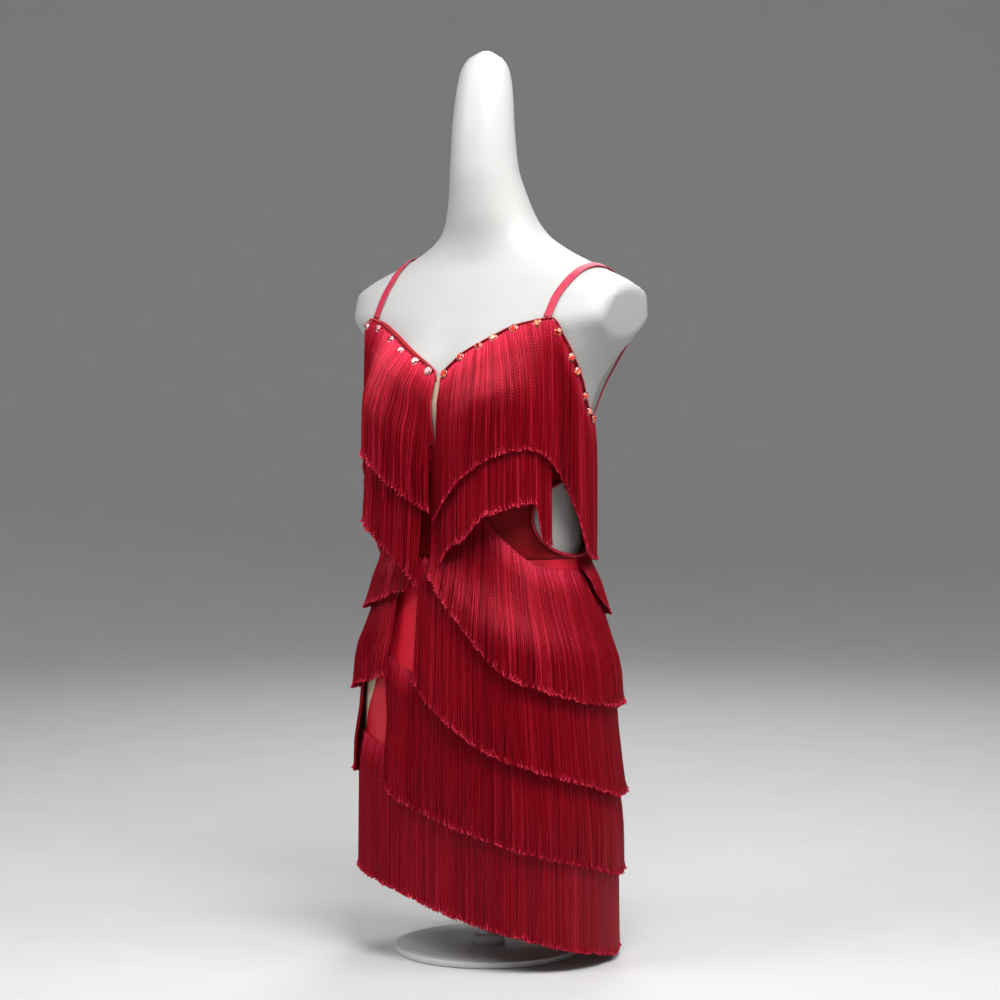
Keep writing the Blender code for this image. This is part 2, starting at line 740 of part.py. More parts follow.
def strap_stations(sway):
    """Points of a strap's middle line, clear of the form, from the cup to the back."""
    edge_bearing = STRAP_POINT - 1.0
    edge_height = top_edge(STRAP_POINT) + STRAP_SEAM
    reach = float(SKIN.read(edge_bearing, edge_height)) + CLOTH_GAP
    points = [place(edge_bearing, edge_height, reach)]
    for station in STRAP_LINE:
        x = station.x + sway * station.sway
        height = station.height
        if height is None:
            height = skin_height(x, station.y) + STRAP_LIFT
        bearing = math.degrees(math.atan2(x, -station.y))
        reach = math.hypot(x, station.y)
        reach = max(reach, float(SKIN.read(bearing, height)) + STRAP_LIFT)
        points.append(place(bearing, height, reach))
    end_height = top_edge(STRAP_END_BEARING) + STRAP_SEAM
    reach = float(SKIN.read(STRAP_END_BEARING, end_height)) + CLOTH_GAP
    points.append(place(STRAP_END_BEARING, end_height, reach))
    return np.array(points)


def skin_normal(point):
    """Direction away from the figure's skin near a point."""
    step = 0.002

    def clearance(x, y, z):
        bearing = math.degrees(math.atan2(x, -y))
        return math.hypot(x, y) - float(SKIN.read(bearing, z))

    x, y, z = point
    slope = np.array(
        (
            clearance(x + step, y, z) - clearance(x - step, y, z),
            clearance(x, y + step, z) - clearance(x, y - step, z),
            clearance(x, y, z + step) - clearance(x, y, z - step),
        )
    )
    return slope / np.linalg.norm(slope)


def build_strap(name, sign, materials, collection):
    """A flat elastic strap from the cup's point over the shoulder to the back's upper edge."""
    line = strap_stations(STRAP_SWAY[name])
    along = np.gradient(line, axis=0)
    edges = []
    for point, direction in zip(line, along):
        side = np.cross(direction, skin_normal(point))
        side = side / np.linalg.norm(side) * STRAP_WIDTH / 2.0
        edges.append((point - side, point + side))

    def point(i, j):
        x, y, z = edges[j][i]
        return (sign * x, y, z)

    mesh_builder = sheet(1, len(edges) - 1, point)
    for face in mesh_builder.faces:
        face.normal_update()
    middle = sorted(mesh_builder.faces, key=lambda face: face.calc_center_median().z)[-1]
    if middle.normal.z < 0.0:
        bmesh.ops.reverse_faces(mesh_builder, faces=mesh_builder.faces)
    item = mesh_object(name, mesh_builder, materials["strap"], collection)
    add_wall(item, STRAP_WALL)


def tube(name, points, sizes, radius, material, collection, cyclic=False):
    """A round cord through the points, thicker or thinner by the sizes."""
    curve = bpy.data.curves.new(name, "CURVE")
    curve.dimensions = "3D"
    curve.bevel_depth = radius
    curve.bevel_resolution = 1
    curve.use_fill_caps = not cyclic
    spline = curve.splines.new("POLY")
    spline.points.add(len(points) - 1)
    for knot, point, size in zip(spline.points, points, sizes):
        knot.co = (*point, 1.0)
        knot.radius = size
    spline.use_cyclic_u = cyclic
    return add_object(name, curve, material, collection)


def trim_point(bearing, thickness):
    height = below_edge(bearing, TRIM_INSET)
    reach = float(CLOTH.read(bearing, height)) + CLOTH_GAP + CLOTH_WALL + thickness
    return np.array(place(bearing, height, reach))


def build_trim(name, sign, materials, collection):
    """The corded edge of half the bodice; it swells at each stone."""
    bearings = np.arange(4.5, 178.9, 0.5)
    reach = STONE_RADIUS + TRIM_LIFT
    line = np.array([trim_point(bearing, reach) for bearing in bearings])
    travel = np.concatenate(((0.0,), np.cumsum(np.linalg.norm(np.diff(line, axis=0), axis=1))))
    last_stone = float(np.interp(STONE_END_BEARING, bearings, travel))
    count = round(last_stone / STONE_PITCH)
    swell = STONE_RADIUS / TRIM_RADIUS
    stops = []
    for k in range(count):
        middle = last_stone * (k + 0.5) / count
        for shift, size in ((-1.0, 1.0), (-0.45, swell), (0.45, swell), (1.0, 1.0)):
            stops.append((middle + shift * STONE_RADIUS, size))
    plain = np.linspace(last_stone + STONE_RADIUS, travel[-1], 8)
    stops = [(0.0, 1.0)] + stops + [(float(distance), 1.0) for distance in plain]
    points = []
    for distance, _ in stops:
        bearing = float(np.interp(distance, travel, bearings))
        x, y, z = trim_point(bearing, reach)
        points.append((sign * x, y, z))
    sizes = [size for _, size in stops]
    tube(name, points, sizes, TRIM_RADIUS, materials["trim"], collection)


def hole_ring(count, grow):
    """Bearings and heights along the cut-out's edge, moved outwards by a distance."""
    ring = []
    for k in range(count):
        turn = 2.0 * math.pi * k / count
        spread = HOLE_HALF_BEARING + math.degrees(grow / WAIST_RADIUS)
        ring.append(
            (
                HOLE_BEARING + spread * math.cos(turn),
                HOLE_HEIGHT + (HOLE_HALF_HEIGHT + grow) * math.sin(turn),
            )
        )
    return ring


def build_binding(materials, collection):
    """The gathered binding round the cut-out, on the cloth's outer side."""
    reach = CLOTH_GAP + CLOTH_WALL + BINDING_RADIUS + SEAM_GAP * 2.0
    points = []
    for bearing, height in hole_ring(20, BINDING_RADIUS * 0.6):
        points.append(place(bearing, height, float(CLOTH.read(bearing, height)) + reach))
    sizes = [1.0] * len(points)
    tube("cutout_binding", points, sizes, BINDING_RADIUS, materials["trim"], collection, True)


# ---------------------------------------------------------------- fringe
class Envelope(Surface):
    """Outer radius of all that lies on the figure so far, by bearing and height."""

    def __init__(self):
        bearings = np.arange(0.0, 360.0, ENVELOPE_STEP)
        heights = np.arange(0.0, ENVELOPE_TOP, ENVELOPE_RISE)
        cloth = CLOTH.read(bearings[:, None], heights[None, :]) + CLOTH_GAP + CLOTH_WALL
        super().__init__(bearings, heights, cloth)

    def cover(self, ring, thickness):
        """Adds a ring of bearings and heights that stands out from the cloth."""
        for bearing, height in ring:
            i = round(bearing / ENVELOPE_STEP) % len(self.bearings)
            j = round(height / ENVELOPE_RISE)
            base = float(CLOTH.read(bearing, height)) + CLOTH_GAP + CLOTH_WALL
            self.radius[i, j] = max(self.radius[i, j], base + thickness)


def widest_near(surface, bearing_reach, height_reach):
    """The largest radius near each place of a surface's grid."""
    grid = surface.radius
    turn = math.ceil(bearing_reach / ENVELOPE_STEP)
    grid = np.max([np.roll(grid, k, axis=0) for k in range(-turn, turn + 1)], axis=0)
    rise = math.ceil(height_reach / ENVELOPE_RISE)
    padded = np.pad(grid, ((0, 0), (rise, rise)), mode="edge")
    count = grid.shape[1]
    return np.max([padded[:, k : k + count] for k in range(2 * rise + 1)], axis=0)


def unturned(fringe, bearing):
    """A grid bearing brought into the range of a fringe's table, or None outside it."""
    start, end = fringe.rows[0].bearing, fringe.rows[-1].bearing
    if fringe.mirrored:
        bearing = -bearing
    turned = (bearing - start) % 360.0 + start
    return turned if turned <= end else None


def hang(fringe, envelope, length):
    """Radius of the strands by bearing and height: they never move inwards on their way down."""
    covered = Surface(envelope.bearings, envelope.heights, envelope.radius.copy())
    tops = []
    for i, bearing in enumerate(envelope.bearings):
        turned = unturned(fringe, bearing)
        if turned is None:
            root = max(fringe.rows[0].root, fringe.rows[-1].root)
        else:
            root = float(tier_line(fringe, turned)[0])
        tops.append(int(root / ENVELOPE_RISE) + 1)
        covered.radius[i, tops[i] :] = covered.radius[i, tops[i]]
    path = widest_near(covered, fringe.reach, length * CLEAR_SHARE) + LOCK_CLEARANCE
    for i, top in enumerate(tops):
        path[i, :top] = np.maximum.accumulate(path[i, :top][::-1])[::-1]
    return Surface(envelope.bearings, envelope.heights, path)


def lock_stations(fringe):
    """Bearings of both edges of each lock, a near constant distance apart along the fringe."""
    start, end = fringe.rows[0].bearing, fringe.rows[-1].bearing
    bearings = np.linspace(start, end, 400)
    root = tier_line(fringe, bearings)[0]
    radius = CLOTH.read(bearings, root - 0.05)
    travel = np.concatenate(((0.0,), np.cumsum(np.radians(np.diff(bearings)) * radius[1:])))
    count = max(2, round(travel[-1] / LOCK_PITCH))
    pitch = travel[-1] / count
    stations = []
    for k in range(count):
        first = k * pitch + (LOCK_SPACE / 2.0 if fringe.closed else 0.0)
        last = (k + 1) * pitch - (LOCK_SPACE / 2.0 if fringe.closed else LOCK_SPACE)
        if not fringe.closed and k == count - 1:
            last = travel[-1]
        stations.append(float(np.interp(first, travel, bearings)))
        stations.append(float(np.interp(last, travel, bearings)))
    return stations


def build_fringe(fringe, envelope, materials, collection):
    """A narrow strip sewn on the cloth, with flat locks hanging from its lower edge."""
    stations = lock_stations(fringe)
    sign = -1.0 if fringe.mirrored else 1.0
    edges = stations + [stations[0] + 360.0] if fringe.closed else stations
    mean_length = float(np.mean([row.root - row.hem for row in fringe.rows]))
    path = hang(fringe, envelope, mean_length / fringe.lengths)
    bare = Envelope()
    seat = Surface(bare.bearings, bare.heights, widest_near(bare, fringe.strip_reach, STRIP_SLACK))

    def lines(bearing):
        if fringe.closed:
            start = fringe.rows[0].bearing
            bearing = (bearing - start) % 360.0 + start
        return tier_line(fringe, bearing)

    def strip_point(i, j):
        bearing = edges[i]
        height = float(lines(bearing)[0]) + STRIP_HEIGHT * j
        reach = float(seat.read(sign * bearing, height)) + FRINGE_SEAT
        return place(sign * bearing, height, reach)

    mesh_builder = sheet(len(edges) - 1, 1, strip_point)
    if fringe.closed:
        bmesh.ops.remove_doubles(mesh_builder, verts=mesh_builder.verts, dist=0.0001)
    mesh_builder.verts.ensure_lookup_table()
    roots = {}
    for vertex in mesh_builder.verts:
        bearing = sign * math.degrees(math.atan2(vertex.co.x, -vertex.co.y))
        offsets = [abs(around(bearing - station)) for station in stations]
        k = int(np.argmin(offsets))
        root = float(lines(stations[k])[0])
        if abs(vertex.co.z - root) < STRIP_HEIGHT / 2.0:
            roots[k] = vertex
    lock_edges = []
    owner = {}
    for k in range(0, len(stations), 2):
        edge = mesh_builder.edges.get((roots[k], roots[k + 1]))
        lock_edges.append(edge)
        owner[roots[k]] = stations[k]
        owner[roots[k + 1]] = stations[k + 1]
    for length in range(fringe.lengths + 1):
        made = bmesh.ops.extrude_edge_only(mesh_builder, edges=lock_edges)["geom"]
        lock_edges = [item for item in made if isinstance(item, bmesh.types.BMEdge)]
        fresh = [item for item in made if isinstance(item, bmesh.types.BMVert)]
        moved = {}
        for vertex in fresh:
            offsets = [(vertex.co - old.co).length for old in owner]
            old = list(owner)[int(np.argmin(offsets))]
            moved[vertex] = owner[old]
        for vertex, bearing in moved.items():
            root, hem = (float(value) for value in lines(bearing))
            drop = ROOT_DROP + (root - hem - ROOT_DROP) * length / fringe.lengths
            height = root - drop
            reach = float(path.read(sign * bearing, height))
            vertex.co = place(sign * bearing, height, reach)
        lock_edges = [
            edge for edge in lock_edges if all(vertex in moved for vertex in edge.verts)
        ]
        owner = moved
    face_outwards(mesh_builder)
    item = mesh_object(fringe.name, mesh_builder, materials["fringe"], collection)
    add_wall(item, FRINGE_WALL)
    record_fringe(fringe, envelope, path)
    return len(stations) // 2


def record_fringe(fringe, envelope, path):
    """Adds a finished fringe to the envelope, so that the next one hangs outside it."""
    for i, bearing in enumerate(envelope.bearings):
        turned = unturned(fringe, bearing)
        if turned is None:
            continue
        root, hem = (float(value) for value in tier_line(fringe, turned))
        for j, height in enumerate(envelope.heights):
            if hem - ENVELOPE_RISE <= height <= root + STRIP_HEIGHT + ENVELOPE_RISE:
                base = path.radius[i, j] if height < root else envelope.radius[i, j] + FRINGE_SEAT
                outer = base + FRINGE_WALL
                envelope.radius[i, j] = max(envelope.radius[i, j], outer)


# ---------------------------------------------------------------- whole part
def main():
    clear_scene()
    collection = bpy.data.collections.new("latin_dance_dress")
    bpy.context.scene.collection.children.link(collection)
    materials = {
        "form": finish("form_gloss", (0.86, 0.86, 0.85), 0.25),
        "stand": finish("stand_paint", (0.72, 0.72, 0.72), 0.35),
        "cloth": finish("stretch_cloth", (0.40, 0.006, 0.022), 0.45),
        "mesh": finish("nude_mesh", (0.62, 0.40, 0.26), 0.70),
        "strap": finish("strap_elastic", (0.52, 0.03, 0.09), 0.35),
        "trim": finish("edge_trim", (0.16, 0.004, 0.010), 0.40),
        "fringe": finish("fringe_strands", (0.27, 0.004, 0.018), 0.30),
    }
    build_form(materials, collection)
    build_stand(materials, collection)
    build_cup("cup_left", 1.0, materials, collection)
    build_cup("cup_right", -1.0, materials, collection)
    build_centre_mesh(materials, collection)
    build_midriff(materials, collection)
    build_back(materials, collection)
    build_skirt(materials, collection)
    build_inset(materials, collection)
    build_strap("strap_left", 1.0, materials, collection)
    build_strap("strap_right", -1.0, materials, collection)
    build_trim("edge_trim_left", 1.0, materials, collection)
    build_trim("edge_trim_right", -1.0, materials, collection)
    build_binding(materials, collection)
    envelope = Envelope()
    envelope.cover(hole_ring(90, BINDING_RADIUS * 0.6), 2.0 * BINDING_RADIUS + 3.0 * SEAM_GAP)
    for fringe in all_fringes():
        build_fringe(fringe, envelope, materials, collection)


if __name__ == "__main__":
    main()
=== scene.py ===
"""Looks of the latin dance dress: cloth, fringe, trim, dress form, stand, light and camera.

Metres, +Z up. The form faces -Y and its left side is +X. A bearing is an angle about the Z axis in
degrees: 0 at the front, 90 at the wearer's left, 180 at the back and 270 at the wearer's right.
"""

import logging
import math
from dataclasses import dataclass, field
from enum import Enum
from functools import reduce
from typing import Callable, NamedTuple, Sequence

import bmesh
import bpy
import numpy as np
from bpy.types import ID, Material, Mesh, NodeTree, Object
from bpy.types import NodeSocket as Socket
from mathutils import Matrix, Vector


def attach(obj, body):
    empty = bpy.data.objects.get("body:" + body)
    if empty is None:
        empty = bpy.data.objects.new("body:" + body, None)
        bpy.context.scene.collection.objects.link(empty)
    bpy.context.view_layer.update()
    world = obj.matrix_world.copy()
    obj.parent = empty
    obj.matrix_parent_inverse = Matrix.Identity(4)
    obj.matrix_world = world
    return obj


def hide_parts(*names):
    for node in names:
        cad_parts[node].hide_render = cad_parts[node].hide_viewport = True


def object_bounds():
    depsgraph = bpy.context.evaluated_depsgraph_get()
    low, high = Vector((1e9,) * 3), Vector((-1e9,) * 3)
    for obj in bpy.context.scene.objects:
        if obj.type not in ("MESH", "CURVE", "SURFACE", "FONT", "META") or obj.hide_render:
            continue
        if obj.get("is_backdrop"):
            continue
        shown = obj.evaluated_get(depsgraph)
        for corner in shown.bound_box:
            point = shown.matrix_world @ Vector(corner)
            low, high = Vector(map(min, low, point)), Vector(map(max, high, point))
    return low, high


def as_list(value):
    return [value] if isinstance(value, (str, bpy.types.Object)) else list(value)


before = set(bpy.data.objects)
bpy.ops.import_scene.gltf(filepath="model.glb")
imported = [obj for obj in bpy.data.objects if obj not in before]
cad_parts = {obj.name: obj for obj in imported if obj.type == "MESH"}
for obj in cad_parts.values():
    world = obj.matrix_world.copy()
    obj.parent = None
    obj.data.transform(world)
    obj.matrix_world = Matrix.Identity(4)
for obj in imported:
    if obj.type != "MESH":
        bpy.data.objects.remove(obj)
CAD_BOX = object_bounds()

LOG = logging.getLogger("latin_dance_dress")
BODY = "root"

Pair = tuple[float, float]
Point = tuple[float, float, float]
Colour = tuple[float, float, float]
Array = np.ndarray
Reals = Array | float
Corner = Callable[[int, int], Pair]
Slot = int | str


# ---- tables of the design
class Section(NamedTuple):
    """One level section of the figure."""

    height: float
    half_width: float
    front: float
    back: float
    centre: float
    squareness: float


class Edge(NamedTuple):
    """A height at a bearing."""

    bearing: float
    height: float


class Tier(NamedTuple):
    """Root and hem heights of a fringe at a bearing."""

    bearing: float
    root: float
    hem: float


class Station(NamedTuple):
    """A point of a strap's line; no height where it lies on the shoulder."""

    x: float
    y: float
    height: float | None
    sway: float


def table(kind: Callable, *rows: tuple) -> tuple:
    """A table of the design.

    Args:
        kind: the record that each row becomes.
        rows: the rows' values, in the record's order.

    Returns:
        One record for each row.
    """
    return tuple(kind(*row) for row in rows)


FIGURE = table(
    Section, (0.202, 0.15, 0.11, 0.12, -0.003, 2.25), (0.262, 0.159, 0.116, 0.126, -0.003, 2.25),
    (0.317, 0.164, 0.119, 0.13, -0.003, 2.25), (0.372, 0.159, 0.117, 0.126, -0.003, 2.2),
    (0.432, 0.144, 0.11, 0.113, -0.002, 2.15), (0.482, 0.133, 0.103, 0.103, -0.001, 2.1),
    (0.527, 0.129, 0.099, 0.098, 0.0, 2.1), (0.572, 0.13, 0.098, 0.097, 0.0, 2.1),
    (0.632, 0.135, 0.101, 0.098, 0.0, 2.15), (0.692, 0.14, 0.104, 0.1, 0.0, 2.2),
    (0.73, 0.15, 0.105, 0.102, 0.006, 2.2), (0.763, 0.168, 0.107, 0.104, 0.014, 2.3),
    (0.792, 0.192, 0.103, 0.103, 0.021, 2.4), (0.82, 0.216, 0.093, 0.098, 0.022, 2.5),
    (0.843, 0.214, 0.081, 0.09, 0.022, 2.5), (0.862, 0.19, 0.074, 0.081, 0.023, 2.4),
    (0.88, 0.15, 0.067, 0.072, 0.023, 2.2), (0.902, 0.104, 0.061, 0.065, 0.02, 2.0),
    (0.92, 0.077, 0.057, 0.061, 0.015, 2.0), (0.942, 0.062, 0.054, 0.056, 0.008, 2.0),
    (0.972, 0.052, 0.05, 0.051, 0.0, 2.0), (1.007, 0.045, 0.045, 0.045, -0.008, 2.0),
    (1.052, 0.0415, 0.0415, 0.0415, -0.01, 2.0), (1.097, 0.038, 0.038, 0.038, -0.008, 2.0),
    (1.127, 0.033, 0.033, 0.033, -0.006, 2.0), (1.144, 0.024, 0.024, 0.024, -0.005, 2.0),
    (1.152, 0.011, 0.011, 0.011, -0.005, 2.0),
)

FORM_TOP = 1.155

# both halves behind the straps' front ends
TOP_EDGE_SIDE = table(
    Edge, (66, 0.815), (70, 0.793), (77, 0.76), (83.5, 0.738), (91, 0.712), (97, 0.697),
    (104, 0.69), (120, 0.688), (180, 0.688),
)

# upper edge of the bodice's left half, from the front to the back
TOP_EDGE_LEFT = table(
    Edge, (0, 0.743), (10, 0.76), (16, 0.77), (23, 0.778), (30, 0.785), (40, 0.795), (50, 0.805),
    (60, 0.812),
) + TOP_EDGE_SIDE

# the right half is cut a little straighter
TOP_EDGE_RIGHT = table(
    Edge, (0, 0.743), (10, 0.757), (20, 0.768), (30, 0.778), (40, 0.788), (50, 0.799), (60, 0.811),
) + TOP_EDGE_SIDE

# both halves at the side, down to the back fringe
BUST_HEMS_SIDE = table(
    Edge, (70, 0.609), (74, 0.589), (78.5, 0.565), (82.5, 0.541), (86, 0.527), (90, 0.519),
    (97, 0.513), (105.5, 0.51),
)

# left half, from the front to the back; its roots follow the bodice's upper edge
BUST_HEMS = table(
    Edge, (1.6, 0.562), (10, 0.586), (20, 0.612), (31, 0.634), (42, 0.648), (52, 0.652),
    (61, 0.645), (66, 0.628),
) + BUST_HEMS_SIDE

BUST_HEMS_RIGHT = table(
    Edge, (1.6, 0.571), (6.3, 0.577), (9.7, 0.584), (16.5, 0.596), (27, 0.617), (39, 0.636),
    (50, 0.643), (61, 0.64), (66, 0.627),
) + BUST_HEMS_SIDE

BACK_HEMS = table(Edge, (101.0, 0.51), (120, 0.508), (180, 0.506), (240, 0.508), (259.0, 0.51))

UNDER_TIER_LEFT = table(
    Tier, (6, 0.678, 0.51), (12, 0.692, 0.527), (21, 0.706, 0.539), (27, 0.719, 0.554),
    (32, 0.732, 0.568), (39, 0.74, 0.575), (50, 0.748, 0.583), (56.5, 0.748, 0.586),
    (58, 0.747, 0.583), (59.2, 0.745, 0.57), (60.6, 0.743, 0.545), (61.6, 0.742, 0.535),
    (66, 0.737, 0.531),
)

UNDER_TIER_RIGHT = table(
    Tier, (270, 0.648, 0.475), (276, 0.675, 0.502), (284, 0.702, 0.532), (295, 0.724, 0.555),
    (309, 0.726, 0.557), (323, 0.714, 0.543), (329, 0.706, 0.536), (337.5, 0.69, 0.515),
    (345, 0.675, 0.496), (352, 0.663, 0.48),
)

# it starts under the back of the cut-out and follows its edge up
WAIST_TIER = table(
    Tier, (92, 0.511, 0.503), (94.5, 0.511, 0.488), (98, 0.512, 0.469), (102, 0.514, 0.458),
    (107, 0.518, 0.45), (112, 0.524, 0.443), (116, 0.534, 0.439), (119, 0.552, 0.437),
    (122, 0.576, 0.436), (127, 0.594, 0.436), (150, 0.594, 0.436), (180, 0.596, 0.434),
    (220, 0.598, 0.436), (260, 0.602, 0.438), (294, 0.607, 0.442), (306, 0.613, 0.448),
    (319, 0.621, 0.456), (335, 0.632, 0.47), (343, 0.638, 0.477), (349.5, 0.642, 0.492),
)

TIER_A = table(
    Tier, (-6.5, 0.652, 0.501), (8, 0.627, 0.463), (18, 0.603, 0.44), (27, 0.578, 0.413),
    (40, 0.543, 0.378), (50, 0.522, 0.362), (60, 0.505, 0.352), (70, 0.497, 0.342),
    (88, 0.493, 0.331), (102, 0.49, 0.325), (140, 0.49, 0.324), (180, 0.491, 0.325),
    (220, 0.493, 0.327), (260, 0.497, 0.332), (294, 0.5, 0.337), (307, 0.504, 0.349),
    (319, 0.508, 0.358), (330.5, 0.511, 0.366),
)

TIER_B = table(
    Tier, (-16.5, 0.511, 0.365), (-13, 0.508, 0.358), (-7, 0.499, 0.343), (0, 0.49, 0.328),
    (10, 0.476, 0.311), (19, 0.464, 0.299), (30, 0.446, 0.281), (49, 0.425, 0.26),
    (68, 0.406, 0.241), (85, 0.39, 0.225), (102, 0.378, 0.211), (140, 0.376, 0.21),
    (180, 0.38, 0.215), (240, 0.386, 0.221), (294, 0.393, 0.228), (306.5, 0.407, 0.242),
)

TIER_C = table(
    Tier, (-34.5, 0.385, 0.228), (-25, 0.373, 0.211), (-6, 0.357, 0.197), (10, 0.345, 0.185),
    (30, 0.33, 0.17), (56, 0.308, 0.148), (75, 0.294, 0.134), (104, 0.27, 0.11),
    (140, 0.268, 0.108), (180, 0.284, 0.124), (210, 0.3, 0.14), (240, 0.315, 0.155),
)

TIER_D = table(
    Tier, (-60, 0.279, 0.112), (-48, 0.273, 0.108), (-36, 0.265, 0.103), (-18, 0.257, 0.094),
    (0, 0.25, 0.082), (25, 0.239, 0.067), (56, 0.217, 0.045), (70, 0.207, 0.033),
    (85, 0.196, 0.023), (103, 0.186, 0.013), (125, 0.19, 0.018), (150, 0.21, 0.038),
    (180, 0.232, 0.06), (220, 0.259, 0.087), (260, 0.279, 0.107), (300, 0.279, 0.112),
)

# height, and half the width of the hip's mesh inset in degrees
INSET_WIDTHS = (
    (0.285, 15.0), (0.305, 19.5), (0.35, 29.0), (0.466, 38.0), (0.475, 40.0), (0.513, 46.0),
)

# no height where the strap lies on the shoulder; the sway is added to x
STRAP_LINE = table(
    Station, (0.1325, -0.05, None, 0.3), (0.134, -0.036, None, 0.8), (0.136, -0.018, None, 1.0),
    (0.137, 0.002, None, 1.0), (0.138, 0.022, None, 0.9), (0.139, 0.042, None, 0.7),
    (0.14, 0.06, None, 0.5), (0.141, 0.074, None, 0.3), (0.142, 0.086, 0.85, 0.2),
    (0.143, 0.09, 0.835, 0.1), (0.144, 0.09, 0.815, 0.0), (0.144, 0.086, 0.79, 0.0),
    (0.1415, 0.08, 0.76, 0.0), (0.1365, 0.071, 0.73, 0.0),
)


class Stone(NamedTuple):
    """A stone's bearing and its distance below the bodice's edge."""

    bearing: float
    inset: float


# both halves below the arm
SIDE_STONES = table(
    Stone, (73.5, 0.0048), (78.0, 0.0046), (87.0, 0.0046), (93.5, 0.0046), (100.5, 0.0044),
)

LEFT_STONES = table(
    Stone, (5.2, 0.0048), (16.5, 0.0036), (29, 0.004), (38.5, 0.0034), (50, 0.0036),
    (60.5, 0.0042), (67.5, 0.0056),
) + SIDE_STONES

RIGHT_STONES = table(
    Stone, (7.8, 0.0046), (19, 0.0056), (33.5, 0.0064), (47.5, 0.007), (59.5, 0.008), (66.5, 0.006),
) + SIDE_STONES


class Side(Enum):
    """The wearer's two sides; the value is the sign of X."""

    LEFT = 1.0
    RIGHT = -1.0

    @property
    def key(self) -> str:
        """The side's name in the names of pieces."""
        return self.name.lower()


# ---- figure, cloth and layers
def smooth_columns(rows: Sequence[Sequence[float]], where: Reals) -> Array:
    """Reads a table at values of its first column, without overshoot between rows.

    Args:
        rows: The table; its first column increases.
        where: The values at which it is read.

    Returns:
        One array for each other column.
    """
    table = np.array(rows, dtype=float)
    knots = table[:, 0]
    values = table[:, 1:]
    step = np.diff(knots)[:, None]
    slope = np.diff(values, axis=0) / step
    tangent = np.vstack((slope[:1], (slope[:-1] + slope[1:]) / 2.0, slope[-1:]))
    inner_low = 2.0 * step[1:] + step[:-1]
    inner_high = step[1:] + 2.0 * step[:-1]
    same_way = slope[:-1] * slope[1:] > 0.0
    before = np.where(same_way, slope[:-1], 1.0)
    after = np.where(same_way, slope[1:], 1.0)
    mean = (inner_low + inner_high) / (inner_low / before + inner_high / after)
    tangent[1:-1] = np.where(same_way, mean, 0.0)
    where = np.asarray(where, dtype=float)
    low = np.clip(np.searchsorted(knots, where) - 1, 0, len(knots) - 2)
    width = knots[low + 1] - knots[low]
    part = np.clip((where - knots[low]) / width, 0.0, 1.0)[..., None]
    width = width[..., None]
    rest = 1.0 - part
    start = (1.0 + 2.0 * part) * rest**2 * values[low] + part * rest**2 * width * tangent[low]
    end = part**2 * (3.0 - 2.0 * part) * values[low + 1]
    end = end - part**2 * rest * width * tangent[low + 1]
    return np.moveaxis(start + end, -1, 0)


def around(bearing: Reals) -> Reals:
    """The same bearing between -180 and 180 degrees."""
    return (bearing + 180.0) % 360.0 - 180.0


def place(bearing: float, height: float, radius: float) -> Point:
    """World point at a bearing, height and distance from the Z axis."""
    turn = math.radians(bearing)
    return (radius * math.sin(turn), -radius * math.cos(turn), height)


@dataclass
class Surface:
    """A radius for each bearing and height, read between the places of a grid."""

    bearings: Array
    heights: Array
    radius: Array

    def read(self, bearing: Reals, height: Reals) -> Array:
        """Radius at any bearing and height.

        Args:
            bearing: Bearing or bearings in degrees.
            height: Height or heights in metres.

        Returns:
            The radius at each place.
        """
        turn = self.bearings[1] - self.bearings[0]
        rise = self.heights[1] - self.heights[0]
        across = (np.asarray(bearing, float) % 360.0) / turn
        up = np.clip((np.asarray(height, float) - self.heights[0]) / rise, 0.0, None)
        up = np.clip(up, 0.0, len(self.heights) - 1.001)
        i, j = across.astype(int), up.astype(int)
        s, t = across - i, up - j
        i = i % len(self.bearings)
        k = (i + 1) % len(self.bearings)
        near = self.radius[i, j] * (1.0 - t) + self.radius[i, j + 1] * t
        far = self.radius[k, j] * (1.0 - t) + self.radius[k, j + 1] * t
        return near * (1.0 - s) + far * s


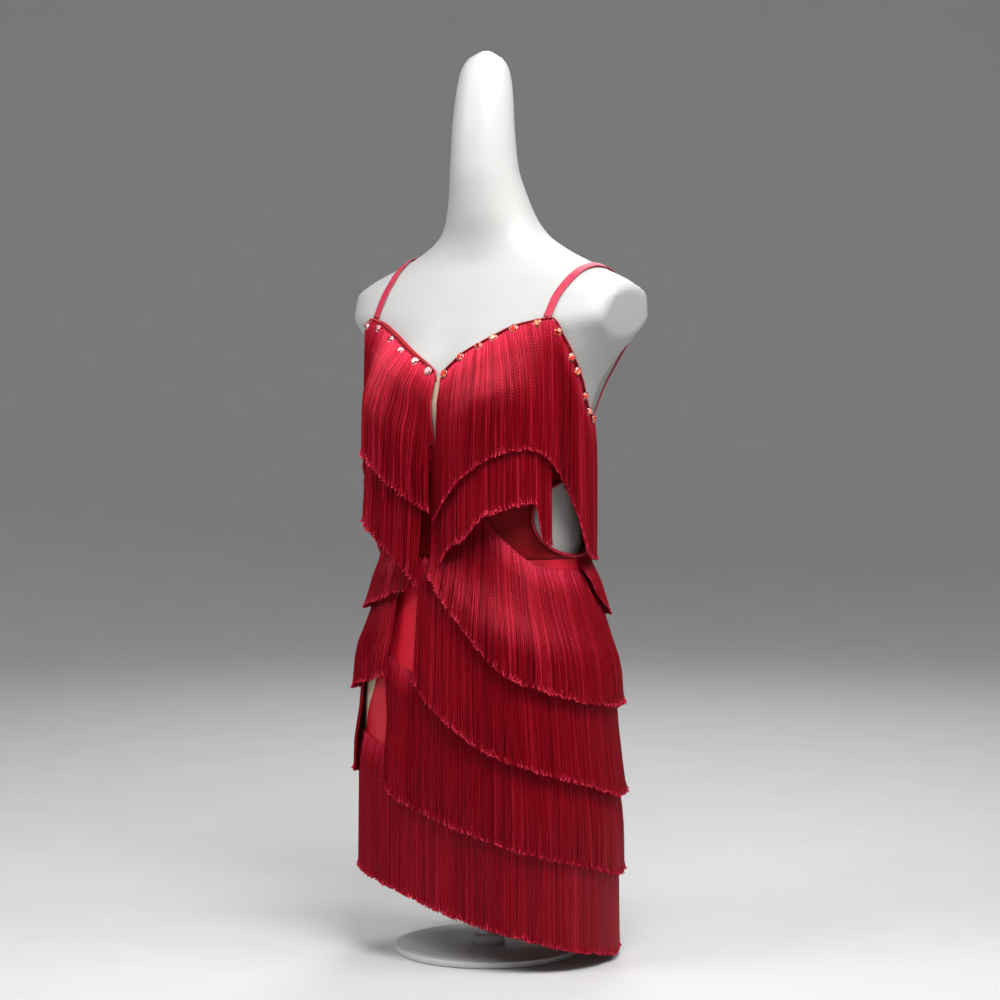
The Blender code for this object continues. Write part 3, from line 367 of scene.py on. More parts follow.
@dataclass
class Figure:
    """The figure under the dress, and how the cloth lies on it."""

    bust_bearing: float = 37.0
    bust_height: float = 0.708
    bust_rise: float = 0.027
    bust_spread: float = 27.0
    bust_above: float = 0.062
    bust_below: float = 0.042
    arm_cut_x: float = 0.197
    arm_cut_height: float = 0.822
    arm_cut_tilt: float = 12.0
    arm_cut_above: float = 0.76
    waist: float = 0.513
    cloth_gap: float = 0.0019
    cloth_wall: float = 0.0012
    skin: Surface = field(init=False)
    cloth: Surface = field(init=False)

    def __post_init__(self) -> None:
        """Measures the skin and the cloth on a fine grid."""
        bearings = np.arange(0.0, 360.0, 1.0)
        heights = np.linspace(FIGURE[0].height, FIGURE[-1].height, 476)
        radius = self.skin_radius(bearings[:, None], heights[None, :])
        self.skin = Surface(bearings, heights, radius)
        hung = radius.copy()
        waist = int(np.searchsorted(heights, self.waist))
        hung[:, :waist] = np.maximum.accumulate(hung[:, :waist][:, ::-1], axis=1)[:, ::-1]
        self.cloth = Surface(bearings, heights, hung)

    def skin_radius(self, bearing: Array, height: Array) -> Array:
        """Distance from the Z axis to the skin, found by halving.

        Args:
            bearing: Bearings in degrees.
            height: Heights in metres.

        Returns:
            The radius at each place.
        """
        bearing, height = np.broadcast_arrays(bearing, height)
        half_width, front, back, centre, squareness = smooth_columns(FIGURE, height)
        side = np.sin(np.radians(bearing))
        ahead = np.cos(np.radians(bearing))
        low = np.zeros_like(half_width)
        high = np.full_like(half_width, 0.4)
        for _ in range(34):
            radius = (low + high) / 2.0
            depth = -radius * ahead - centre
            reach = np.where(depth < 0.0, front, back)
            across = (np.abs(radius * side) / half_width) ** squareness
            outside = across + (np.abs(depth) / reach) ** squareness > 1.0
            high = np.where(outside, radius, high)
            low = np.where(outside, low, radius)
        above = height - self.bust_height
        fade = np.where(above > 0.0, above / self.bust_above, above / self.bust_below) ** 2
        for side_of in Side:
            turn = (around(bearing) - side_of.value * self.bust_bearing) / self.bust_spread
            radius = radius + self.bust_rise * np.exp(-(turn**2) - fade)
        tilt = math.radians(self.arm_cut_tilt)
        reach = self.arm_cut_x * math.cos(tilt) + (height - self.arm_cut_height) * math.sin(tilt)
        cut = reach / np.maximum(np.abs(side) * math.cos(tilt), 1e-6)
        # the cut's rim is rounded over a few millimetres
        soft = 900.0
        low_of_both = -np.log(np.exp(-soft * radius) + np.exp(-soft * np.minimum(cut, 0.5))) / soft
        return np.where(height > self.arm_cut_above, low_of_both, radius)

    def cloth_inside(self, bearing: Reals, height: Reals) -> Array:
        """Radius of the inside of the cloth."""
        return self.cloth.read(bearing, height) + self.cloth_gap

    def cloth_outside(self, bearing: Reals, height: Reals) -> Array:
        """Radius of the outside of the cloth."""
        return self.cloth_inside(bearing, height) + self.cloth_wall

    def shoulder_height(self, x: float, y: float) -> float:
        """Height of the shoulder's upper surface over a point of the floor.

        Args:
            x: Place along X.
            y: Place along Y.

        Returns:
            The height, found by halving.
        """
        bearing = math.degrees(math.atan2(x, -y))
        reach = math.hypot(x, y)
        low, high = 0.78, 0.945
        for _ in range(30):
            middle = (low + high) / 2.0
            if float(self.skin.read(bearing, middle)) > reach:
                low = middle
            else:
                high = middle
        return (low + high) / 2.0

    def outward(self, point: Array) -> Array:
        """Direction away from the skin near a point.

        Args:
            point: A place near the skin.

        Returns:
            A direction of length one.
        """
        step = 0.002
        slope = []
        for axis in range(3):
            clear = []
            for sign in (1.0, -1.0):
                moved = np.array(point, float)
                moved[axis] += sign * step
                bearing = math.degrees(math.atan2(moved[0], -moved[1]))
                skin = float(self.skin.read(bearing, moved[2]))
                clear.append(math.hypot(moved[0], moved[1]) - skin)
            slope.append(clear[0] - clear[1])
        direction = np.array(slope)
        return direction / np.linalg.norm(direction)

    def outwards(self, line: Array) -> Array:
        """Direction away from the skin at each point of a line."""
        return np.array([self.outward(point) for point in line])

    def on_cloth(self, bearing: float, height: float, lift: float) -> Point:
        """A point a little outside the cloth."""
        return place(bearing, height, float(self.cloth_outside(bearing, height)) + lift)


@dataclass
class BodiceEdge:
    """The upper edge of the bodice."""

    figure: Figure

    def height(self, bearing: Reals) -> Array:
        """Height of the edge at a bearing."""
        turned = around(np.asarray(bearing, float))
        left = smooth_columns(TOP_EDGE_LEFT, np.abs(turned))[0]
        right = smooth_columns(TOP_EDGE_RIGHT, np.abs(turned))[0]
        return np.where(turned < 0.0, right, left)

    def below(self, bearing: float, distance: float) -> float:
        """Height of the line that lies a distance below the edge, square to it."""
        reach = 1.0
        rise = float(self.height(bearing + reach) - self.height(bearing - reach))
        radius = float(self.figure.cloth.read(bearing, float(self.height(bearing))))
        run = math.radians(2.0 * reach) * radius
        return float(self.height(bearing)) - distance * math.hypot(1.0, rise / run)


class Layers:
    """Outer radius of all that lies on the figure so far, by bearing and height."""

    turn: float = 1.5
    rise: float = 0.003
    top: float = 0.86

    def __init__(self, figure: Figure) -> None:
        """Starts with the bare cloth."""
        self.bearings = np.arange(0.0, 360.0, self.turn)
        self.heights = np.arange(0.0, self.top, self.rise)
        self.radius = figure.cloth_outside(self.bearings[:, None], self.heights[None, :])

    def pooled(self, rule: Callable, grid: Array, wide: int, tall: int) -> Array:
        """A grid where each place takes the greatest or the mean value of its neighbours.

        Args:
            rule: np.max or np.mean.
            grid: Radii by bearing and height.
            wide: How many neighbours to each side.
            tall: How many neighbours up and down.

        Returns:
            The new grid.
        """
        grid = rule([np.roll(grid, k, axis=0) for k in range(-wide, wide + 1)], axis=0)
        padded = np.pad(grid, ((0, 0), (tall, tall)), mode="edge")
        count = grid.shape[1]
        return rule([padded[:, k : k + count] for k in range(2 * tall + 1)], axis=0)


# ---- node trees and materials
class Graph:
    """Short ways to add and link nodes in one tree."""

    def __init__(self, tree: NodeTree) -> None:
        """Keeps the tree."""
        self.tree = tree

    def node(self, kind: str, **settings: object) -> bpy.types.Node:
        """Adds a node and sets its properties."""
        made = self.tree.nodes.new(kind)
        for name, value in settings.items():
            setattr(made, name, value)
        return made

    def feed(self, socket: Socket, value: object) -> None:
        """Links a socket to another one, or gives it a value."""
        if isinstance(value, Socket):
            self.tree.links.new(value, socket)
        else:
            socket.default_value = value

    def apply(self, kind: str, inputs: dict, output: Slot = 0, **settings: object) -> Socket:
        """Adds a node with its inputs fed.

        Args:
            kind: The node's type.
            inputs: Values or sockets by the input's number or name.
            output: Number or name of the output.
            settings: Properties of the node.

        Returns:
            The output socket.
        """
        made = self.node(kind, **settings)
        for name, value in inputs.items():
            self.feed(made.inputs[name], value)
        return made.outputs[output]

    def math(self, operation: str, first: object, second: object = 0.0) -> Socket:
        """One Math node."""
        return self.apply("ShaderNodeMath", {0: first, 1: second}, operation=operation)

    def add(self, *values: object) -> Socket:
        """The sum of several values."""
        return reduce(lambda total, value: self.math("ADD", total, value), values)

    def times(self, *values: object) -> Socket:
        """The product of several values."""
        return reduce(lambda total, value: self.math("MULTIPLY", total, value), values)

    def less(self, first: object, second: object) -> Socket:
        """The first value less the second."""
        return self.math("SUBTRACT", first, second)

    def combine(self, x: object = 0.0, y: object = 0.0, z: object = 0.0) -> Socket:
        """A vector of three values."""
        return self.apply("ShaderNodeCombineXYZ", {0: x, 1: y, 2: z})

    def vectors(self, operation: str, inputs: dict) -> Socket:
        """One Vector Math node."""
        return self.apply("ShaderNodeVectorMath", inputs, operation=operation)

    def named(self, name: str) -> Socket:
        """A number that each point or face carries."""
        return self.apply("ShaderNodeAttribute", {}, "Fac", attribute_name=name)

    def metres(self) -> tuple[Socket, Socket, Socket]:
        """The panel's own metres as a vector and as two numbers."""
        metres = self.apply("ShaderNodeUVMap", {}, uv_map="metres")
        split = self.node("ShaderNodeSeparateXYZ")
        self.feed(split.inputs[0], metres)
        return metres, split.outputs[0], split.outputs[1]

    def wave(self, value: object, pitch: float) -> Socket:
        """A sine wave with the given pitch."""
        return self.math("SINE", self.times(value, 2.0 * math.pi / pitch))

    def noise(self, where: object, scale: float, detail: float) -> Socket:
        """Smooth noise in space, from 0 to 1."""
        inputs = {"Vector": where, "Scale": scale, "Detail": detail}
        return self.apply("ShaderNodeTexNoise", inputs)

    def random(
        self, seed: object, low: object = 0.0, high: object = 1.0, index: object = None
    ) -> Socket:
        """A random number for each element, or for each index."""
        inputs = {2: low, 3: high, 8: seed}
        if index is not None:
            inputs[7] = index
        return self.apply("FunctionNodeRandomValue", inputs, 1, data_type="FLOAT")

    def vector(self, name: str) -> Socket:
        """A vector that each point carries."""
        kind = "GeometryNodeInputNamedAttribute"
        return self.apply(kind, {"Name": name}, data_type="FLOAT_VECTOR")

    def store(self, geometry: object, name: str, value: object, domain: str = "POINT") -> Socket:
        """Keeps a number on every point or instance."""
        inputs = {"Geometry": geometry, "Name": name, "Value": value}
        kind = "GeometryNodeStoreNamedAttribute"
        return self.apply(kind, inputs, data_type="FLOAT", domain=domain)

    def bump(self, height: object, depth: float) -> Socket:
        """A surface raised by a height field."""
        inputs = {"Strength": 1.0, "Distance": depth, "Height": height}
        return self.apply("ShaderNodeBump", inputs)

    def ramp(self, factor: object, stops: Sequence[tuple[float, Sequence[float]]]) -> Socket:
        """A colour ramp with the given stops."""
        made = self.node("ShaderNodeValToRGB")
        elements = made.color_ramp.elements
        while len(elements) > 1:
            elements.remove(elements[-1])
        for k, (position, colour) in enumerate(stops):
            element = elements[0] if k == 0 else elements.new(position)
            element.position = position
            element.color = (*colour, 1.0)
        self.feed(made.inputs[0], factor)
        return made.outputs[0]


@dataclass(frozen=True)
class Finish:
    """What every finish has: a name and the shader's own numbers."""

    name: str
    roughness: float = 0.5
    specular: float = 0.5
    coat: float = 0.0
    metallic: float = 0.0

    def material(self) -> Material:
        """Builds the material: the plain numbers first, then what the finish adds to them."""
        material = bpy.data.materials.new(self.name)
        material.use_nodes = True
        graph = Graph(material.node_tree)
        inputs = material.node_tree.nodes["Principled BSDF"].inputs
        numbers = {
            "Roughness": self.roughness, "Specular IOR Level": self.specular,
            "Coat Weight": self.coat, "Metallic": self.metallic,
        }
        for look in (numbers, self.look(graph)):
            for name, value in look.items():
                graph.feed(inputs[name], value)
        return material

    def look(self, graph: Graph) -> dict[str, object]:
        """What the finish feeds to the shader, by the input's name."""
        return {}


@dataclass(frozen=True)
class StrandFinish(Finish):
    """Glossy twisted strands; each strand's tone mixes a random tone of its own with painted light.
    """

    deep: Colour = (0.1, 0.0002, 0.0018)
    middle: Colour = (0.33, 0.001, 0.008)
    bright: Colour = (0.8, 0.034, 0.09)
    gloss_tint: Colour = (1.0, 0.2, 0.32)

    def look(self, graph: Graph) -> dict[str, object]:
        """Colour from each strand's tone and its painted light, bump from its twist."""
        stops = ((0.0, self.deep), (0.5, self.middle), (1.0, self.bright))
        wave = graph.wave(graph.named("twist"), 1.0)
        return {
            "Specular Tint": (*self.gloss_tint, 1.0),
            "Base Color": graph.ramp(graph.named("tone"), stops),
            "Normal": graph.bump(wave, 0.00012),
        }


@dataclass(frozen=True)
class TwoToneFinish(Finish):
    """A finish that moves between two tones."""

    colour: Colour = (0.8, 0.8, 0.8)
    shade: Colour = (0.7, 0.7, 0.7)


@dataclass(frozen=True)
class ClothFinish(TwoToneFinish):
    """Fine knitted cloth with a weave that follows the panel's own metres."""

    pitch: float = 0.0011
    relief: float = 0.00006

    def look(self, graph: Graph) -> dict[str, object]:
        """A weave under soft clouds of tone."""
        metres, x, y = graph.metres()
        weave = graph.times(graph.wave(x, self.pitch), graph.wave(y, self.pitch))
        mixed = graph.add(graph.times(weave, 0.1), graph.noise(metres, 24.0, 3.0))
        stops = ((0.3, self.shade), (0.7, self.colour))
        return {"Base Color": graph.ramp(mixed, stops), "Normal": graph.bump(weave, self.relief)}


@dataclass(frozen=True)
class ElasticFinish(TwoToneFinish):
    """Satin elastic with slanting ribs."""

    pitch: float = 0.0016

    def look(self, graph: Graph) -> dict[str, object]:
        """Ribs whose colour carries painted shade and highlight, lighter on the crests."""
        _, x, y = graph.metres()
        rib = graph.wave(graph.add(y, graph.times(x, 0.6)), self.pitch)
        # painted shade: the colour follows the rib wave, lighter on the crests and darker in the
        # troughs
        tone = graph.add(graph.times(rib, 0.35), 0.5)
        stops = ((0.1, self.shade), (0.8, self.colour))
        return {"Base Color": graph.ramp(tone, stops), "Normal": graph.bump(rib, 0.00016)}


@dataclass(frozen=True)
class CloudFinish(TwoToneFinish):
    """A smooth coating with slight clouds of tone and roughness."""

    scale: float = 9.0
    relief: float = 0.0001

    def look(self, graph: Graph) -> dict[str, object]:
        """Clouds in the object's own space."""
        cloud = graph.noise(graph.apply("ShaderNodeTexCoord", {}, "Object"), self.scale, 4.0)
        return {
            "Base Color": graph.ramp(cloud, ((0.3, self.shade), (0.7, self.colour))),
            "Roughness": graph.add(graph.times(cloud, 0.08), max(0.02, self.roughness - 0.04)),
            "Normal": graph.bump(cloud, self.relief),
        }


@dataclass(frozen=True)
class GemFinish(Finish):
    """Cut stones whose facets each carry a painted reflection: dark, body-coloured or glinting."""

    # the dark and glinting tones are painted reflections of the facets
    dark: Colour = (0.2, 0.0, 0.002)
    body: Colour = (0.8, 0.018, 0.006)
    glint: Colour = (1.0, 0.34, 0.16)
    spread: float = 0.22
    deep_share: float = 0.34

    def look(self, graph: Graph) -> dict[str, object]:
        """A painted reflection tone by facet, shifted from stone to stone."""
        tone = graph.math("FRACT", graph.add(graph.named("facet"), graph.named("shift")))
        clear = 1.0 - self.spread
        stops = (
            (0.0, self.dark), (self.deep_share, self.dark), (self.deep_share + 0.06, self.body),
            (clear - 0.06, self.body), (clear, self.glint),
        )
        return {"Base Color": graph.ramp(tone, stops)}


STRANDS = StrandFinish("fringe_rayon", roughness=0.3, specular=1.0, metallic=0.3)
JERSEY = ClothFinish(
    "red_jersey", specular=0.3, colour=(0.66, 0.008, 0.03), shade=(0.54, 0.005, 0.021),
)
# the midriff's jersey, painted darker: painted shade from the rib fringe that hangs over it
JERSEY_PAINTED_SHADE = ClothFinish(
    "deep_red_jersey", roughness=0.62, specular=0.15, colour=(0.25, 0.0008, 0.005),
    shade=(0.18, 0.0005, 0.003),
)
SKIRT_JERSEY = ClothFinish(
    "satin_red_jersey", roughness=0.42, specular=0.3, colour=(0.62, 0.008, 0.029),
    shade=(0.52, 0.005, 0.019),
)
NUDE_MESH = ClothFinish(
    "skin_tone_mesh", roughness=0.75, specular=0.25, colour=(0.64, 0.48, 0.38),
    shade=(0.48, 0.34, 0.24), pitch=0.0016, relief=0.00012,
)
ELASTIC = ElasticFinish(
    "satin_elastic", roughness=0.42, specular=0.4, colour=(0.58, 0.034, 0.082),
    shade=(0.36, 0.012, 0.038),
)
PIPING = ClothFinish(
    "dark_piping", roughness=0.42, specular=0.4, colour=(0.2, 0.002, 0.01),
    shade=(0.1, 0.001, 0.006), pitch=0.0009,
)
BRAID = ClothFinish(
    "header_braid", specular=0.3, colour=(0.4, 0.003, 0.016),
    shade=(0.24, 0.001, 0.009), pitch=0.0012,
)
BINDING = ClothFinish(
    "gathered_binding", roughness=0.46, specular=0.4, colour=(0.5, 0.008, 0.028),
    shade=(0.3, 0.003, 0.014), pitch=0.0014,
)
THREAD = CloudFinish(
    "sewing_thread", colour=(0.34, 0.004, 0.016), shade=(0.22, 0.002, 0.01), scale=60.0,
)
BEAD = CloudFinish(
    "seed_bead", roughness=0.12, coat=0.6, colour=(0.7, 0.02, 0.03), shade=(0.3, 0.0, 0.008),
    scale=300.0,
)
CUP_METAL = CloudFinish(
    "stone_setting", roughness=0.22, metallic=1.0, colour=(0.55, 0.3, 0.3),
    shade=(0.4, 0.16, 0.16), scale=200.0,
)
RED_STONE = GemFinish("red_stone", roughness=0.08, specular=0.7, coat=0.6)
# the same red stones on the wearer's right, painted with a darker body and paler glints for how the
# light falls there
RED_STONE_RIGHT_PAINTED_LIGHT = GemFinish(
    "rose_stone", roughness=0.06, specular=0.8, coat=1.0, body=(0.5, 0.012, 0.03),
    glint=(1.0, 0.8, 0.82), spread=0.3, deep_share=0.3,
)
LACQUER = CloudFinish(
    "white_lacquer", roughness=0.48, specular=0.35, coat=0.06, colour=(0.43, 0.43, 0.42),
    shade=(0.41, 0.41, 0.405),
)
STAND_PAINT = CloudFinish(
    "stand_paint", roughness=0.36, coat=0.2, colour=(0.62, 0.62, 0.62), shade=(0.59, 0.59, 0.59),
    scale=30.0,
)
PAPER = CloudFinish(
    "studio_paper", roughness=0.9, specular=0.1, colour=(0.64, 0.64, 0.64),
    shade=(0.62, 0.62, 0.62),
)


# ---- meshes
def linked(name: str, data: ID) -> Object:
    """A new object in the scene, at the origin."""
    item = bpy.data.objects.new(name, data)
    bpy.context.scene.collection.objects.link(item)
    return item


def new_piece(name: str, mesh: Mesh, finish: Finish) -> Object:
    """A new object with one finish."""
    mesh.materials.append(finish.material())
    return linked(name, mesh)


def finished(build: bmesh.types.BMesh, name: str) -> Mesh:
    """The mesh of a finished build, which is freed."""
    mesh = bpy.data.meshes.new(name)
    build.to_mesh(mesh)
    build.free()
    return mesh


def travelled(line: Array) -> Array:
    """Distance along a line at each of its points."""
    return np.concatenate(((0.0,), np.cumsum(np.linalg.norm(np.diff(line, axis=0), axis=1))))


def full_turn(count: int) -> Array:
    """Angles evenly round a circle."""
    return np.linspace(0.0, 2.0 * math.pi, count, endpoint=False)


def circle(turns: Array, radius: Reals) -> Array:
    """Points at the given angles of a circle."""
    return np.column_stack((radius * np.cos(turns), radius * np.sin(turns)))


def quads(points: Array, closed: bool, tube: bool, uv_at: Callable) -> tuple:
    """Smooth quads over columns and rows of points, with metres as a UV map.

    Args:
        points: The columns of points.
        closed: Whether the last column meets the first one.
        tube: Whether the last row meets the first one.
        uv_at: The UV place for a column and a row.

    Returns:
        The build and its vertices.
    """
    build = bmesh.new()
    layer = build.loops.layers.uv.new("metres")
    verts = [[build.verts.new(tuple(p)) for p in column] for column in points]
    columns, rows = points.shape[:2]
    for i in range(columns if closed else columns - 1):
        for j in range(rows if tube else rows - 1):
            corners = ((i, j), (i + 1, j), (i + 1, j + 1), (i, j + 1))
            face = build.faces.new([verts[a % columns][b % rows] for a, b in corners])
            face.smooth = True
            for loop, corner in zip(face.loops, corners):
                loop[layer].uv = uv_at(*corner)
    return build, verts


def revolved(profile: Sequence[Pair], segments: int = 96) -> Array:
    """Rings of points about the Z axis from (radius, height) pairs."""
    bearings = np.linspace(0.0, 360.0, segments, endpoint=False)
    return np.array([[place(b, height, radius) for b in bearings] for radius, height in profile])


@dataclass
class Grid:
    """A sheet of points in columns and rows, with its own metres as a UV map."""

    points: Array
    closed: bool = False

    @property
    def ring(self) -> Array:
        """The points, with the first column again at the end."""
        return np.concatenate((self.points, self.points[:1]), axis=0)

    def area(self) -> float:
        """Area of the sheet in square metres."""
        p = self.ring if self.closed else self.points
        one = np.cross(p[1:, :-1] - p[:-1, :-1], p[1:, 1:] - p[:-1, :-1])
        two = np.cross(p[1:, 1:] - p[:-1, :-1], p[:-1, 1:] - p[:-1, :-1])
        return float((np.linalg.norm(one, axis=-1) + np.linalg.norm(two, axis=-1)).sum() / 2.0)

    def spans(self) -> Pair:
        """Greatest width along a row and greatest length along a column."""
        p = self.ring if self.closed else self.points
        width = np.linalg.norm(np.diff(p, axis=0), axis=-1).sum(axis=0).max()
        length = np.linalg.norm(np.diff(p, axis=1), axis=-1).sum(axis=1).max()
        return float(width), float(length)

    def mesh(self, name: str, outwards: Callable[[Array], Sequence[float]] | None = None) -> Mesh:
        """The sheet as an open mesh whose faces point away from the Z axis.

        Args:
            name: The mesh's name.
            outwards: Direction that a face at a point should face.

        Returns:
            The mesh.
        """
        columns, rows = self.points.shape[:2]
        width = np.zeros((columns + 1, rows))
        width[1:] = np.cumsum(np.linalg.norm(np.diff(self.ring, axis=0), axis=-1), axis=0)
        across = width.mean(axis=1)
        down = np.zeros((columns, rows))
        down[:, 1:] = np.cumsum(np.linalg.norm(np.diff(self.points, axis=1), axis=-1), axis=1)
        sheet, _ = quads(
            self.points, self.closed, False, lambda a, b: (across[a], down[a % columns, b])
        )
        sheet.normal_update()
        for face in sheet.faces:
            centre = face.calc_center_median()
            away = outwards(np.array(centre)) if outwards else (centre.x, centre.y, 0.0)
            if np.dot(face.normal, away) < 0.0:
                face.normal_flip()
        return finished(sheet, name)


def with_wall(item: Object, thickness: float) -> Object:
    """Gives an open sheet its thickness, outwards, and makes it a plain mesh."""
    wall = item.modifiers.new("wall", "SOLIDIFY")
    wall.thickness = thickness
    wall.offset = 1.0
    wall.use_even_offset = True
    return made_plain(item)


def keep_vectors(mesh: Mesh, name: str, vectors: Array) -> None:
    """Keeps a vector on every point of a mesh."""
    layer = mesh.attributes.new(name, "FLOAT_VECTOR", "POINT")
    layer.data.foreach_set("vector", vectors.ravel())


def made_plain(item: Object) -> Object:
    """Bakes an object's modifiers into its mesh and removes them."""
    graph = bpy.context.evaluated_depsgraph_get()
    mesh = bpy.data.meshes.new_from_object(item.evaluated_get(graph), depsgraph=graph)
    mesh.name = item.name
    item.modifiers.clear()
    item.data = mesh
    return item


def swept(path: Array, outs: Array, profile: Callable[[float], Array], closed: bool) -> Array:
    """Points of a tube: a profile of (outward, sideways) offsets carried along a path.

    Args:
        path: Points of the middle line.
        outs: Outward direction at each point.
        profile: Offsets for a distance along the path.
        closed: Whether the path ends where it starts.

    Returns:
        Rings of points.
    """
    before = np.roll(path, 1, axis=0) if closed else np.vstack((path[:1], path[:-1]))
    after = np.roll(path, -1, axis=0) if closed else np.vstack((path[1:], path[-1:]))
    ahead = after - before
    ahead /= np.linalg.norm(ahead, axis=1)[:, None]
    outs = outs - (outs * ahead).sum(axis=1)[:, None] * ahead
    outs /= np.linalg.norm(outs, axis=1)[:, None]
    sides = np.cross(ahead, outs)
    rings = []
    for point, out, side, distance in zip(path, outs, sides, travelled(path)):
        offsets = profile(float(distance))
        rings.append(point + offsets[:, :1] * out + offsets[:, 1:] * side)
    return np.array(rings)


def tube_mesh(name: str, rings: Array, closed: bool) -> Mesh:
    """A tube through rings of points, with flat ends where it is open."""
    middle = rings.mean(axis=1)
    steps = np.linalg.norm(np.diff(middle, axis=0), axis=1)
    travel = np.concatenate(((0.0,), np.cumsum(steps), (steps.sum() + steps.mean(),)))
    girth = float(np.linalg.norm(np.diff(rings[0], axis=0), axis=1).mean())
    sheet, verts = quads(rings, closed, True, lambda a, b: (b * girth, travel[a]))
    if not closed:
        sheet.faces.new(list(reversed(verts[0])))
        sheet.faces.new(verts[-1])
    bmesh.ops.recalc_face_normals(sheet, faces=sheet.faces)
    return finished(sheet, name)


# ---- geometry node trees
class GeometryTree(Graph):
    """A tree of geometry nodes with named inputs."""

    def __init__(self, name: str, **inputs: str) -> None:
        """Builds the tree.

        Args:
            name: The tree's name.
            inputs: The inputs' names, by the kind of their sockets.
        """
        super().__init__(bpy.data.node_groups.new(name, "GeometryNodeTree"))
        socket = self.tree.interface.new_socket
        for kind, names in {"Geometry": "Geometry", **inputs}.items():
            for label in names.split():
                socket(label, in_out="INPUT", socket_type=f"NodeSocket{kind}")
        socket("Geometry", in_out="OUTPUT", socket_type="NodeSocketGeometry")
        self.given = self.node("NodeGroupInput").outputs
        self.feed(self.node("NodeGroupOutput").inputs[0], self.build())

    def geo(self, kind: str, inputs: dict, output: Slot = 0, **settings: object) -> Socket:
        """A node of geometry with its inputs fed."""
        return self.apply(f"GeometryNode{kind}", inputs, output, **settings)

    def run(self, name: str, mesh: Mesh, values: dict[str, object]) -> Object:
        """Runs the tree on a mesh and keeps the result as a plain mesh object.

        Args:
            name: Name of the piece.
            mesh: The mesh that the tree starts from.
            values: A value for each named input.

        Returns:
            The finished piece.
        """
        item = linked(name, mesh)
        modifier = item.modifiers.new("nodes", "NODES")
        modifier.node_group = self.tree
        sockets = self.tree.interface.items_tree
        keys = {s.name: s.identifier for s in sockets if s.item_type == "SOCKET"}
        for label, value in values.items():
            modifier[keys[label]] = value
        return made_plain(item)


